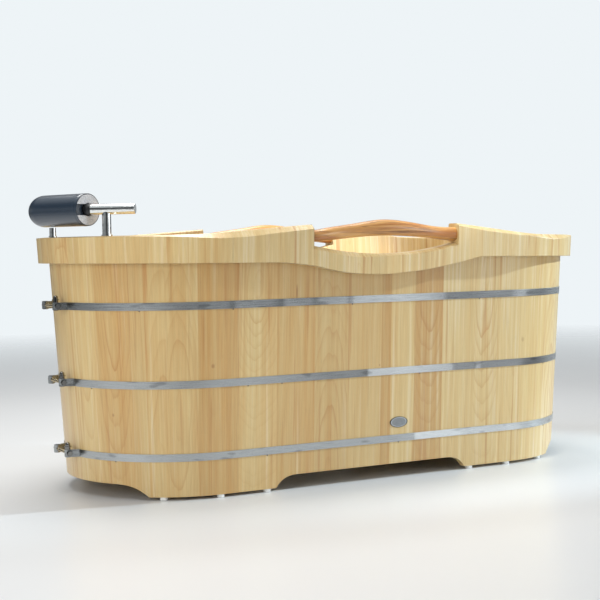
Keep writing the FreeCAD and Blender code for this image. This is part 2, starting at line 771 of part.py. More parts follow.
def roll_round(profile):
    """A solid of revolution about the roll's axis, from lines and arcs through (along, radius) points."""
    edges = []
    for kind, places in profile:
        points = [Vector(along, 0, radius) for along, radius in places]
        edges.append(Part.Arc(*points).toShape() if kind == "arc" else Part.LineSegment(*points).toShape())
    solid = Part.Face(Part.Wire(edges)).revolve(Vector(0, 0, 0), Vector(1, 0, 0), 360)
    turn = math.degrees(math.atan2(roll_direction().y, roll_direction().x))
    solid.rotate(Vector(0, 0, 0), Vector(0, 0, 1), turn)
    solid.translate(roll_spot(0))
    return solid


def roll_core():
    """The plastic tube that turns on the axle, closed at its far end."""
    start = elbow_neck_length + core_near_gap
    stop = axle_length + core_end_gap
    bore = axle_radius + core_bore_clearance
    hollow = axle_length + core_end_gap / 2
    return roll_round([("line", ((start, bore), (start, core_radius))),
                       ("line", ((start, core_radius), (stop, core_radius))),
                       ("line", ((stop, core_radius), (stop, 0))),
                       ("line", ((stop, 0), (hollow, 0))),
                       ("line", ((hollow, 0), (hollow, bore))),
                       ("line", ((hollow, bore), (start, bore)))])


def roll_pad():
    """The padded roll: a little crowned, flat at its near end and long and domed at its far end."""
    start = roll_near_reach
    stop = roll_near_reach + roll_length
    bore = core_radius + core_cover_clearance
    hollow = axle_length + core_end_gap + core_cover_clearance
    near = start + roll_near_edge
    far = stop - roll_dome_length
    side = roll_radius - roll_crown
    half_root = math.sqrt(0.5)
    near_mid = (near - roll_near_edge * half_root, side - roll_near_edge * (1 - half_root))
    run = roll_dome_length - roll_tip_radius
    wide = (run ** 2 + side ** 2 - roll_tip_radius ** 2) / (2 * (side - roll_tip_radius))
    meet = math.atan2(wide - side, run)
    meeting = (stop - roll_tip_radius + roll_tip_radius * math.cos(meet), roll_tip_radius * math.sin(meet))
    wide_turn = (math.radians(quarter_turn) + meet) / 2
    wide_mid = (far + wide * math.cos(wide_turn), side - wide + wide * math.sin(wide_turn))
    tip_mid = (stop - roll_tip_radius + roll_tip_radius * math.cos(meet / 2),
               roll_tip_radius * math.sin(meet / 2))
    return roll_round([("line", ((start, bore), (start, side - roll_near_edge))),
                       ("arc", ((start, side - roll_near_edge), near_mid, (near, side))),
                       ("arc", ((near, side), ((near + far) / 2, roll_radius), (far, side))),
                       ("arc", ((far, side), wide_mid, meeting)),
                       ("arc", (meeting, tip_mid, (stop, 0))),
                       ("line", ((stop, 0), (hollow, 0))),
                       ("line", ((hollow, 0), (hollow, bore))),
                       ("line", ((hollow, bore), (start, bore)))])


def roll_disc():
    """The end plate of the roll, open on the outer side where it was slid over the elbow's neck."""
    stop = roll_near_reach - disc_seat_gap
    start = stop - disc_thickness
    bore = core_radius + core_cover_clearance
    disc = roll_round([("line", ((start, bore), (start, disc_radius))),
                       ("line", ((start, disc_radius), (stop, disc_radius))),
                       ("line", ((stop, disc_radius), (stop, bore))),
                       ("line", ((stop, bore), (start, bore)))])
    slot = Part.makeBox(2 * disc_thickness, 2 * disc_radius, 2 * disc_slot_half_height,
                        Vector(-disc_thickness, 0, -disc_slot_half_height))
    turn = math.degrees(math.atan2(roll_direction().y, roll_direction().x))
    slot.rotate(Vector(0, 0, 0), Vector(0, 0, 1), turn)
    slot.translate(roll_spot((start + stop) / 2))
    return disc.cut(slot)


def roll_peg():
    """The peg that stands in the rim under the roll."""
    top = bar_height - roll_radius - peg_roll_gap
    up = Vector(0, 0, 1)
    peg = rod(peg_spot(head_rim_top), up, peg_radius, top - head_rim_top)
    peg = peg.fuse(rod(peg_spot(head_rim_top), up, peg_flange_radius, peg_flange_height))
    return peg.fuse(rod(peg_spot(head_rim_top - peg_spigot_length), up, peg_spigot_radius,
                        peg_spigot_length))


def headrest_holes():
    """The holes in the head rail for the socket and the peg."""
    up = Vector(0, 0, 1)
    socket = rod(post_spot(head_rim_top - socket_depth - socket_clearance), up,
                 socket_radius + socket_clearance, socket_depth + cutter_overrun)
    peg = rod(peg_spot(head_rim_top - peg_spigot_length - socket_clearance), up,
              peg_spigot_radius + socket_clearance, peg_spigot_length + cutter_overrun)
    return [socket, peg]


def waste_outlet():
    """The flanged outlet: a seat for the plug, a neck, a thinner tail, and a hub on three webs."""
    up = Vector(0, 0, 1)
    flange_low = floor_top_height - waste_flange_sink
    flange_top = flange_low + waste_flange_height
    outlet = rod(Vector(waste_place, 0, flange_low), up, waste_flange_radius, waste_flange_height)
    neck_low = floor_bottom_height - nut_height - waste_neck_spare
    outlet = outlet.fuse(rod(Vector(waste_place, 0, neck_low), up, waste_neck_radius, flange_low - neck_low))
    outlet = outlet.fuse(rod(Vector(waste_place, 0, waste_tail_bottom), up, waste_tail_radius,
                             neck_low - waste_tail_bottom))
    outlet = outlet.cut(rod(Vector(waste_place, 0, waste_tail_bottom), up, waste_bore_radius,
                            flange_top - waste_tail_bottom))
    outlet = outlet.cut(rod(Vector(waste_place, 0, flange_top - waste_seat_depth), up, waste_seat_radius,
                            waste_seat_depth))
    hub_low = floor_top_height - waste_hub_drop
    hub = rod(Vector(waste_place, 0, hub_low), up, waste_hub_radius, waste_hub_height)
    for index in range(3):
        web = Part.makeBox(waste_bore_radius + waste_web_width / 2, waste_web_width, waste_hub_height,
                           Vector(waste_place, -waste_web_width / 2, hub_low))
        web.rotate(Vector(waste_place, 0, 0), up, 120 * index)
        hub = hub.fuse(web)
    outlet = outlet.fuse(hub)
    return outlet.cut(rod(Vector(waste_place, 0, hub_low), up, drain_stem_radius + drain_stem_clearance,
                          waste_hub_height))


def waste_nut():
    """The round nut that draws the outlet down onto the floor."""
    low = floor_bottom_height - nut_height
    nut = rod(Vector(waste_place, 0, low), Vector(0, 0, 1), nut_radius, nut_height)
    return nut.cut(rod(Vector(waste_place, 0, low), Vector(0, 0, 1), waste_neck_radius + nut_clearance,
                       nut_height))


def drain_plug():
    """The pop-up plug: a domed cap on a stem that slides in the outlet's hub."""
    up = Vector(0, 0, 1)
    seat = floor_top_height - waste_flange_sink + waste_flange_height - waste_seat_depth
    cap_low = seat + drain_plug_lift
    cap = rod(Vector(waste_place, 0, cap_low), up, drain_plug_radius, drain_plug_height)
    cap = cap.makeFillet(drain_plug_height / 2, [edge for edge in cap.Edges
                                                if edge.Closed and edge.BoundBox.ZMin > cap_low])
    stem_low = floor_top_height - waste_hub_drop - drain_stem_tail
    return cap.fuse(rod(Vector(waste_place, 0, stem_low), up, drain_stem_radius, cap_low - stem_low))


def build():
    """All pieces by name."""
    underside = wave_block(rim_blank_bottom - cutter_overrun)
    pieces = staves()
    pins = glide_holes()
    for name in list(pieces):
        if pieces[name].BoundBox.ZMin < foot_height + glide_pin_length:
            pieces[name] = pieces[name].cut(pins)
    pieces["floor_planks"] = floor_planks()
    pieces["floor_battens"] = floor_battens()
    pieces["rim_near"] = side_rail(-1, underside)
    pieces["rim_far"] = side_rail(1, underside)
    head_rail = end_rail(quarter_turn, quarter_turn + half_turn, underside)
    for hole in headrest_holes():
        head_rail = head_rail.cut(hole)
    pieces["rim_head"] = head_rail
    pieces["rim_foot"] = end_rail(-quarter_turn, quarter_turn, underside)
    pieces["handle_near"] = handle(-1)
    pieces["handle_far"] = handle(1)
    barrel_group = []
    for name, height in zip(hoop_names, hoop_heights):
        pieces[f"hoop_{name}"] = hoop(height)
        pieces[f"tension_bolt_{name}"] = tension_bolt(height)
        barrel_group += barrels(height)
    pieces["tension_barrels"] = Part.makeCompound(barrel_group)
    pieces["glides"] = Part.makeCompound(glides())
    pieces["oval_plate"] = oval_plate()
    pieces["post_socket"] = post_socket()
    pieces["arm_post"] = arm_post()
    pieces["arm_bar"] = arm_bar()
    pieces["arm_elbow"] = arm_elbow()
    pieces["roll_core"] = roll_core()
    pieces["roll_pad"] = roll_pad()
    pieces["roll_disc"] = roll_disc()
    pieces["roll_peg"] = roll_peg()
    pieces["waste_outlet"] = waste_outlet()
    pieces["waste_nut"] = waste_nut()
    pieces["drain_plug"] = drain_plug()
    return pieces


def write(pieces):
    """Centre the whole object over the origin and write one file for each piece."""
    os.makedirs("parts", exist_ok=True)
    whole = Part.makeCompound(list(pieces.values())).BoundBox
    shift = Vector(-whole.Center.x, -whole.Center.y, -whole.ZMin)
    print("shift", round(shift.x, 3), round(shift.y, 3), round(shift.z, 3))
    for name, piece in pieces.items():
        piece.translate(shift)
        if not piece.isValid():
            print("not valid:", name)
        piece.exportStep(f"parts/{name}.step")


write(build())
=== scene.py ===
import json
import math

import bmesh
import bpy
from mathutils import Matrix, Vector


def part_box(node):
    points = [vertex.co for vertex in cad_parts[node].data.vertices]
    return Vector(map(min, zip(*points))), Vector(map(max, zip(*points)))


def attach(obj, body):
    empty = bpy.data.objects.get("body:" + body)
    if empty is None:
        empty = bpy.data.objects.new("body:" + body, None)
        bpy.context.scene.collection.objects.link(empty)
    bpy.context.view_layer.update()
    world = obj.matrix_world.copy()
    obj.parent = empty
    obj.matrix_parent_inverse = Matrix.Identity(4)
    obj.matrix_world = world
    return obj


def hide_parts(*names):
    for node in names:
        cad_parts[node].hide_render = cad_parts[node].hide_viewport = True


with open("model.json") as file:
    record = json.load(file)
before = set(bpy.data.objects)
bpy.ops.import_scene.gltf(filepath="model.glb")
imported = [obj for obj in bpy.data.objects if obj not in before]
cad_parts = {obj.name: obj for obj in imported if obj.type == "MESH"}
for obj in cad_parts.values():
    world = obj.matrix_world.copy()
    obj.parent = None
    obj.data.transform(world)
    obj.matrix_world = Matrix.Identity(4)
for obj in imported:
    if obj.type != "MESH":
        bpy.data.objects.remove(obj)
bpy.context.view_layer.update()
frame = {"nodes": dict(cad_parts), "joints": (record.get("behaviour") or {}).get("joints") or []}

nodes = frame["nodes"]

# Studio: a plain pale floor that fades into a pale surround, so that no edge of it shows. Chrome
# and lacquer mirror the surround, which has soft dark screens in it, as a photographer sets up for
# bright metal. Soft lamps light the tub, and narrow ones rake over its foot end and into its basin.
floor_radius = 9.0
floor_fade_start = 2.2
floor_fade_end = 6.0
floor_colour = (0.70, 0.71, 0.715)
floor_roughness = 0.32
surround_colour = (0.855, 0.905, 0.93)
ambient_colour = (0.93, 0.965, 1.0)
ambient_strength = 0.42
# Each screen or gap between screens: its direction round the tub, in degrees, and its brightness.
screen_levels = ((-180.0, 0.55), (-150.0, 0.50), (-141.0, 0.36), (-127.0, 0.30), (-119.0, 0.06),
                 (-99.0, 0.05), (-91.0, 0.30), (-80.0, 1.0), (-42.0, 1.0), (-35.0, 0.07), (-9.0, 0.07),
                 (0.0, 0.75), (70.0, 0.7), (84.0, 0.25), (112.0, 0.2), (126.0, 0.6), (180.0, 0.55))
# The surround's brightness from straight down, 0, over the horizon, 0.5, to straight up, 1. The
# screens stand round the horizon, and fade out above and below it between the two slopes.
height_levels = ((0.0, 0.34), (0.46, 0.30), (0.5, 0.42), (0.53, 0.85), (0.575, 0.9), (0.61, 0.16),
                 (0.75, 0.12), (0.80, 0.72), (1.0, 0.78))
screens_steep = 0.45
screens_gone = 0.75
daylight = (1.0, 0.985, 0.96)
cool_light = (0.94, 0.97, 1.0)
sky_light = (0.76, 0.90, 1.0)
spot_radius = 0.05
spot_softness = 0.7
# Each spot lamp: its name and place, the point it lights, its beam's width in degrees, its power and
# its colour.
spot_lamps = (("raking_lamp", (4.0, -1.20, 2.2), (0.66, -0.25, 0.36), 19.0, 900.0, sky_light),
              ("basin_lamp", (0.35, -2.2, 2.25), (0.16, 0.29, 0.47), 12.5, 390.0, daylight))
# Each soft lamp: its name and place, the point it lights, its size, power and colour. The head lamp
# lights the round end of the wall, and nothing mirrors it.
soft_lamps = (("side_lamp", (2.7, -3.2, 1.0), (0.1, 0.0, 0.35), 1.2, 20.0, cool_light),
              ("rim_lamp", (-1.3, -1.4, 3.0), (-0.3, -0.2, 0.4), 1.4, 20.0, daylight),
              ("ceiling_lamp", (-0.1, 0.75, 2.9), (-0.1, 0.25, 0.4), 2.0, 98.0, daylight),
              ("head_lamp", (-3.5, -1.7, 1.2), (-0.5, 0.0, 0.4), 1.5, 43.0, daylight))
unmirrored_lamp = "head_lamp"


def put(tree, kind, inputs=None, **settings):
    """Add a node to a tree; each input takes a value or another node's output."""
    node = tree.nodes.new(kind)
    for name, value in settings.items():
        setattr(node, name, value)
    for name, value in (inputs or {}).items():
        if isinstance(value, bpy.types.NodeSocket):
            tree.links.new(value, node.inputs[name])
        else:
            node.inputs[name].default_value = value
    return node


def calc(tree, operation, *values):
    """A sum of plain numbers in a material."""
    return put(tree, "ShaderNodeMath", dict(enumerate(values)), operation=operation).outputs[0]


def spread(tree, value, low, high, start=0.0, stop=1.0):
    """Carry a value from one range over to another, held at both ends."""
    return put(tree, "ShaderNodeMapRange", {"Value": value, "From Min": low, "From Max": high,
                                            "To Min": start, "To Max": stop}).outputs["Result"]


def blend(tree, share, first, second, way="MIX"):
    """Mix two colours."""
    node = put(tree, "ShaderNodeMix", data_type="RGBA", blend_type=way)
    for socket, value in ((node.inputs[0], share), (node.inputs[6], first), (node.inputs[7], second)):
        if isinstance(value, bpy.types.NodeSocket):
            tree.links.new(value, socket)
        elif isinstance(value, tuple):
            socket.default_value = (*value, 1.0)
        else:
            socket.default_value = value
    return node.outputs[2]


def grey_of(tree, level):
    """A grey colour from one number."""
    return put(tree, "ShaderNodeCombineColor", {0: level, 1: level, 2: level}).outputs[0]


def from_levels(tree, value, low, high, levels):
    """A number that runs smoothly through (place, level) pairs."""
    node = put(tree, "ShaderNodeValToRGB", {"Fac": spread(tree, value, low, high)})
    ramp = node.color_ramp
    for place, level in levels[1:-1]:
        ramp.elements.new((place - low) / (high - low)).color = (level, level, level, 1.0)
    ramp.elements[0].color = (*[levels[0][1]] * 3, 1.0)
    ramp.elements[-1].color = (*[levels[-1][1]] * 3, 1.0)
    return node.outputs["Color"]


def new_material(name):
    """A material with an empty tree."""
    material = bpy.data.materials.new(name)
    material.use_nodes = True
    material.node_tree.nodes.clear()
    return material, material.node_tree


def finish_material(material, shader):
    """Give a material its shader."""
    output = put(material.node_tree, "ShaderNodeOutputMaterial")
    material.node_tree.links.new(shader, output.inputs["Surface"])
    return material


def wear(piece, material):
    """Give an object one material."""
    piece.data.materials.clear()
    piece.data.materials.append(material)


def make_floor():
    material, tree = new_material("pale floor")
    place = put(tree, "ShaderNodeTexCoord").outputs["Object"]
    distance = put(tree, "ShaderNodeVectorMath", {0: place}, operation="LENGTH").outputs["Value"]
    fade = spread(tree, distance, floor_fade_start, floor_fade_end)
    solid = put(tree, "ShaderNodeBsdfPrincipled", {"Base Color": (*floor_colour, 1.0),
                                                   "Roughness": floor_roughness})
    clear = put(tree, "ShaderNodeBsdfTransparent")
    both = put(tree, "ShaderNodeMixShader", {0: fade, 1: solid.outputs[0], 2: clear.outputs[0]})
    finish_material(material, both.outputs[0])
    mesh = bpy.data.meshes.new("floor")
    shape = bmesh.new()
    bmesh.ops.create_circle(shape, cap_ends=True, segments=64, radius=floor_radius)
    shape.to_mesh(mesh)
    shape.free()
    floor = bpy.data.objects.new("floor", mesh)
    bpy.context.scene.collection.objects.link(floor)
    wear(floor, material)


def make_surround():
    world = bpy.data.worlds.new("surround")
    world.use_nodes = True
    tree = world.node_tree
    tree.nodes.clear()
    path = put(tree, "ShaderNodeLightPath").outputs
    mirrored = calc(tree, "MAXIMUM", path["Is Glossy Ray"], path["Is Transmission Ray"])
    direction = put(tree, "ShaderNodeTexCoord").outputs["Generated"]
    way = put(tree, "ShaderNodeSeparateXYZ", {0: direction}).outputs
    turn = calc(tree, "DEGREES", calc(tree, "ARCTAN2", way["Y"], way["X"]))
    screens = from_levels(tree, turn, -180.0, 180.0, screen_levels)
    bands = from_levels(tree, calc(tree, "MULTIPLY_ADD", way["Z"], 0.5, 0.5), 0.0, 1.0, height_levels)
    seen = put(tree, "ShaderNodeBackground", {"Color": (*surround_colour, 1.0), "Strength": 1.0})
    steep = spread(tree, calc(tree, "ABSOLUTE", way["Z"]), screens_steep, screens_gone)
    screened = blend(tree, steep, screens, (1.0, 1.0, 1.0))
    studio = blend(tree, 1.0, blend(tree, 1.0, bands, screened, "MULTIPLY"), surround_colour, "MULTIPLY")
    shine = put(tree, "ShaderNodeBackground", {"Color": studio, "Strength": 1.0})
    light = put(tree, "ShaderNodeBackground", {"Color": (*ambient_colour, 1.0),
                                               "Strength": ambient_strength})
    inner = put(tree, "ShaderNodeMixShader", {0: mirrored, 1: light.outputs[0], 2: shine.outputs[0]})
    outer = put(tree, "ShaderNodeMixShader", {0: path["Is Camera Ray"], 1: inner.outputs[0],
                                              2: seen.outputs[0]})
    tree.links.new(outer.outputs[0], put(tree, "ShaderNodeOutputWorld").inputs["Surface"])
    bpy.context.scene.world = world


def hang_lamp(name, data, place, aim, power, colour):
    """Hang a lamp at a place, turned to the point that it lights."""
    data.energy = power
    data.color = colour
    lamp = bpy.data.objects.new(name, data)
    lamp.location = place
    lamp.rotation_euler = (Vector(aim) - Vector(place)).to_track_quat("-Z", "Y").to_euler()
    lamp.visible_camera = False
    bpy.context.scene.collection.objects.link(lamp)
    return lamp


def soft_lamp(name, place, aim, size, power, colour):
    """A square soft lamp."""
    data = bpy.data.lights.new(name, "AREA")
    data.shape = "SQUARE"
    data.size = size
    return hang_lamp(name, data, place, aim, power, colour)


def spot_lamp(name, place, aim, width, power, colour):
    """A small round lamp with a soft-edged beam."""
    data = bpy.data.lights.new(name, "SPOT")
    data.shadow_soft_size = spot_radius
    data.spot_size = math.radians(width)
    data.spot_blend = spot_softness
    hang_lamp(name, data, place, aim, power, colour)


make_floor()
make_surround()
for lamp_values in spot_lamps:
    spot_lamp(*lamp_values)
for lamp_values in soft_lamps:
    lamp = soft_lamp(*lamp_values)
    lamp.visible_glossy = lamp.name != unmirrored_lamp

# Camera: a long lens at rim height, near the head end on the near side, turned towards the foot
# end as in the photograph. It has no shift and no depth of field.
tub_middle = (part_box("stave_near_1")[0].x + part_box("stave_near_8")[1].x) / 2
camera_to_head = 1.716
camera_to_near = 3.0675
camera_height = 0.5894
camera_yaw = math.radians(28.36)
camera_pitch = math.radians(2.401)
camera_roll = math.radians(-1.007)
lens_length = 78.96
sensor_width = 36.0


def make_camera():
    ahead = Vector((math.sin(camera_yaw) * math.cos(camera_pitch),
                    math.cos(camera_yaw) * math.cos(camera_pitch), -math.sin(camera_pitch)))
    right = Vector((math.cos(camera_yaw), -math.sin(camera_yaw), 0.0))
    up = right.cross(ahead)
    rolled_right = math.cos(camera_roll) * right + math.sin(camera_roll) * up
    rolled_up = math.cos(camera_roll) * up - math.sin(camera_roll) * right
    turn = Matrix((rolled_right, rolled_up, -ahead)).transposed()
    data = bpy.data.cameras.new("camera")
    data.lens = lens_length
    data.sensor_width = sensor_width
    camera = bpy.data.objects.new("camera", data)
    place = (tub_middle - camera_to_head, -camera_to_near, camera_height)
    camera.matrix_world = Matrix.Translation(place) @ turn.to_4x4()
    bpy.context.scene.collection.objects.link(camera)
    bpy.context.scene.camera = camera


make_camera()
bpy.context.scene.view_settings.view_transform = "Standard"

# Staves: upright boards of pale rubberwood, glued edge to edge and lacquered. Each board was sawn
# at its own distance from the heart of its tree: far from it the grain runs straight up, and near
# it the yearly rings come out as long nested arches.
side_half = (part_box("stave_near_8")[1].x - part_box("stave_near_1")[0].x) / 2
turn_radius = 0.30
pale_wood = (0.655, 0.490, 0.225)
warm_wood = (0.575, 0.335, 0.112)
vein_wood = (0.500, 0.250, 0.075)
light_wood = (0.750, 0.640, 0.420)
ring_gap = 0.0095
ring_wander = 1.6
heart_sway = 0.050
heart_zone = (0.035, 0.085)
far_ring_share = 0.30
ring_sharpness = 2.6
grain_depth = 0.0004
lacquer_roughness = 0.36
coat_roughness = 0.32
# How often each part of the grain varies in a metre: across it, in depth and along it.
broad_scales = (30.0, 12.0, 1.3)
band_scales = (135.0, 40.0, 1.5)
fibre_scales = (560.0, 200.0, 7.0)
pore_scales = (1300.0, 700.0, 45.0)
vein_scales = (88.0, 30.0, 0.6)
pale_scales = (0.6, 30.0, 100.0)
sway_scales = (9.0, 1.0, 3.2)
knot_wood = (0.300, 0.130, 0.040)
# Each knot or resin streak: its place along the wall and up, its half width and half height, and
# its strength.
wall_knots = ((-0.452, 0.312, 0.0050, 0.0060, 0.55), (-0.234, 0.476, 0.0028, 0.0230, 0.75),
              (0.001, 0.288, 0.0018, 0.0030, 0.8), (0.445, 0.330, 0.0060, 0.0080, 0.35),
              (0.440, 0.095, 0.0070, 0.0090, 0.35), (-0.700, 0.200, 0.0040, 0.0050, 0.5))
# Each board: where it starts along the wall, in metres from the middle, its tone, its warmth, how
# clearly its rings show, the tree's heart behind it, along the wall and up, and the tree's taper.
# The boards towards the foot end, from 0.188 on, have warmth below zero, which pales them towards light wood.
# This is partly their own paler tone and partly a painted whitish sheen from the light that rakes over that
# end.
wall_boards = (
    (-0.886, 1.02, 0.05, 0.35, -0.90, 0.30, 0.08),
    (-0.818, 1.02, 0.00, 0.50, -0.775, 0.52, 0.10),
    (-0.740, 0.97, 0.56, 1.00, -0.690, 0.50, 0.15),
    (-0.646, 0.95, 0.36, 0.35, -0.70, 0.20, 0.08),
    (-0.610, 0.99, 0.24, 0.60, -0.57, 0.04, 0.12),
    (-0.560, 0.98, 0.16, 0.60, -0.535, 0.20, 0.16),
    (-0.487, 0.95, 0.64, 0.20, -0.450, 0.55, 0.08),
    (-0.419, 0.92, 0.85, 0.70, -0.33, 0.30, 0.05),
    (-0.386, 0.98, 0.26, 0.60, -0.340, 0.50, 0.34),
    (-0.286, 0.93, 0.52, 0.30, -0.34, 0.80, 0.08),
    (-0.233, 0.93, 0.54, 0.45, -0.12, 0.40, 0.08),
    (-0.183, 0.89, 0.36, 0.80, -0.140, 0.02, 0.16),
    (-0.091, 0.92, 0.24, 0.35, -0.19, 0.30, 0.06),
    (0.005, 0.88, 0.82, 0.50, 0.10, 0.20, 0.05),
    (0.0335, 0.97, 0.08, 0.25, -0.06, 0.70, 0.08),
    (0.103, 0.89, 0.80, 0.95, 0.147, 0.52, 0.20),
    (0.188, 0.97, -0.08, 0.30, 0.33, 0.50, 0.08),
    (0.286, 0.97, -0.05, 0.90, 0.318, 0.50, 0.20),
    (0.360, 1.00, -0.15, 0.25, 0.402, 0.60, 0.08),
    (0.451, 1.01, -0.10, 0.60, 0.60, 0.30, 0.10),
    (0.536, 1.02, -0.20, 0.90, 0.588, 0.12, 0.16),
    (0.636, 1.00, 0.10, 0.45, 0.55, 0.40, 0.08),
    (0.741, 1.02, -0.05, 0.50, 0.80, 0.30, 0.08))


def round_the_tub(tree):
    """Lengths round the tub's wall, outwards and up, and whether it is the far side."""
    place = put(tree, "ShaderNodeTexCoord").outputs["Object"]
    parts = put(tree, "ShaderNodeSeparateXYZ", {0: place}).outputs
    along = calc(tree, "SUBTRACT", parts["X"], tub_middle)
    held = calc(tree, "MINIMUM", calc(tree, "MAXIMUM", along, -side_half), side_half)
    beyond = calc(tree, "SUBTRACT", along, held)
    out = calc(tree, "ABSOLUTE", parts["Y"])
    bend = calc(tree, "MULTIPLY", calc(tree, "ARCTAN2", beyond, out), turn_radius)
    depth = calc(tree, "SQRT", calc(tree, "ADD", calc(tree, "MULTIPLY", beyond, beyond),
                                    calc(tree, "MULTIPLY", out, out)))
    far = calc(tree, "GREATER_THAN", parts["Y"], 0.0)
    return calc(tree, "ADD", held, bend), depth, parts["Z"], far


def stretched_noise(tree, across, depth, along, scales, detail=2.0, distortion=0.0):
    """Noise drawn out along the grain: scales are per metre across, in depth and along."""
    scaled = [calc(tree, "MULTIPLY", value, scale)
              for value, scale in zip((across, depth, along), scales)]
    place = put(tree, "ShaderNodeCombineXYZ", dict(enumerate(scaled))).outputs[0]
    return put(tree, "ShaderNodeTexNoise", {"Vector": place, "Scale": 1.0, "Detail": detail,
                                            "Distortion": distortion}).outputs["Fac"]


def grain(tree, across, depth, along, board, tone, warmth, rings_shown, from_heart, heart_rise, taper):
    """Colour and height of lacquered wood from its lengths and its board's own values."""
    shifted = calc(tree, "MULTIPLY_ADD", board, 17.0, across)
    lifted = calc(tree, "MULTIPLY_ADD", board, 5.3, along)
    aside = calc(tree, "ADD", shifted, 3.1)
    broad = stretched_noise(tree, shifted, depth, lifted, broad_scales, 2.0, 0.3)
    bands = stretched_noise(tree, shifted, depth, lifted, band_scales, 3.0, 0.2)
    fibres = stretched_noise(tree, shifted, depth, lifted, fibre_scales, 2.0)
    pores = stretched_noise(tree, shifted, depth, lifted, pore_scales, 1.0)
    veins = stretched_noise(tree, aside, depth, lifted, vein_scales, 3.0, 0.35)
    pales = stretched_noise(tree, lifted, depth, aside, pale_scales, 2.0, 0.1)
    sway = stretched_noise(tree, shifted, 0.0, lifted, sway_scales, 2.0)
    sideways = calc(tree, "MULTIPLY_ADD", calc(tree, "SUBTRACT", sway, 0.5), heart_sway, from_heart)
    rise = calc(tree, "MULTIPLY", heart_rise, taper)
    reach = calc(tree, "SQRT", calc(tree, "ADD", calc(tree, "MULTIPLY", sideways, sideways),
                                    calc(tree, "MULTIPLY", rise, rise)))
    count = calc(tree, "ADD", calc(tree, "DIVIDE", reach, ring_gap),
                 calc(tree, "MULTIPLY", broad, ring_wander))
    ring = calc(tree, "FRACT", count)
    edge = calc(tree, "MULTIPLY", spread(tree, ring, 0.25, 0.90), spread(tree, ring, 1.0, 0.91))
    chance = calc(tree, "SINE", calc(tree, "MULTIPLY", calc(tree, "FLOOR", count), 12.9))
    own = calc(tree, "FRACT", calc(tree, "MULTIPLY", chance, 43.7))
    near_heart = spread(tree, reach, *heart_zone, 1.0, far_ring_share)
    clear = calc(tree, "MULTIPLY", spread(tree, own, 0.0, 1.0, 0.05, 0.95), rings_shown)
    strong = calc(tree, "MULTIPLY", clear, near_heart)
    line = calc(tree, "MULTIPLY", calc(tree, "POWER", edge, ring_sharpness), strong)
    heat = calc(tree, "ADD", calc(tree, "MULTIPLY", warmth, 0.90),
                calc(tree, "ADD", spread(tree, broad, 0.35, 0.65, -0.16, 0.24),
                     spread(tree, bands, 0.35, 0.68, -0.16, 0.38)))
    colour = blend(tree, spread(tree, heat, 0.0, 1.0), pale_wood, warm_wood)
    # Warmth below zero pales the wood towards light wood. On the foot-end boards this is partly painted
    # sheen. Pale streaks in the grain pale it too.
    pale_wood_and_sheen = spread(tree, heat, -0.5, 0.0, 0.75, 0.0)
    pale_wood_and_sheen = calc(tree, "MAXIMUM", pale_wood_and_sheen, spread(tree, pales, 0.60, 0.74, 0.0, 0.45))
    colour = blend(tree, pale_wood_and_sheen, colour, light_wood)
    colour = blend(tree, spread(tree, veins, 0.575, 0.68, 0.0, 0.72), colour, vein_wood)
    colour = blend(tree, line, colour, vein_wood)
    shade = calc(tree, "ADD", spread(tree, fibres, 0.3, 0.7, -0.055, 0.045),
                 spread(tree, pores, 0.62, 0.76, 0.0, -0.11))
    level = calc(tree, "MULTIPLY", tone, calc(tree, "ADD", shade, 1.0))
    colour = blend(tree, 1.0, colour, grey_of(tree, level), "MULTIPLY")
    height = calc(tree, "ADD", calc(tree, "MULTIPLY", fibres, 0.6), calc(tree, "MULTIPLY", pores, -0.5))
    return colour, height


def lacquered(material, tree, colour, height, roughness=lacquer_roughness, rounding=0.0):
    """A satin lacquer over wood, with edges that look worked round by the given radius."""
    bump = put(tree, "ShaderNodeBump", {"Height": height, "Strength": 0.12, "Distance": grain_depth})
    if rounding:
        worked = put(tree, "ShaderNodeBevel", {"Radius": rounding}, samples=4)
        tree.links.new(worked.outputs[0], bump.inputs["Normal"])
    shader = put(tree, "ShaderNodeBsdfPrincipled", {
        "Base Color": colour, "Roughness": roughness, "Specular IOR Level": 0.5, "Coat Weight": 0.5,
        "Coat Roughness": coat_roughness, "Normal": bump.outputs[0]})
    return finish_material(material, shader.outputs[0])


def board_table(tree, number, rows):
    """Three values for each numbered board."""
    share = calc(tree, "DIVIDE", calc(tree, "ADD", number, 0.5), float(len(rows)))
    node = put(tree, "ShaderNodeValToRGB", {"Fac": share})
    ramp = node.color_ramp
    ramp.interpolation = "CONSTANT"
    ramp.elements.remove(ramp.elements[1])
    for index, row in enumerate(rows):
        element = ramp.elements[0] if index == 0 else ramp.elements.new(index / len(rows))
        element.color = (*row, 1.0)
    return put(tree, "ShaderNodeSeparateColor", {0: node.outputs["Color"]}).outputs


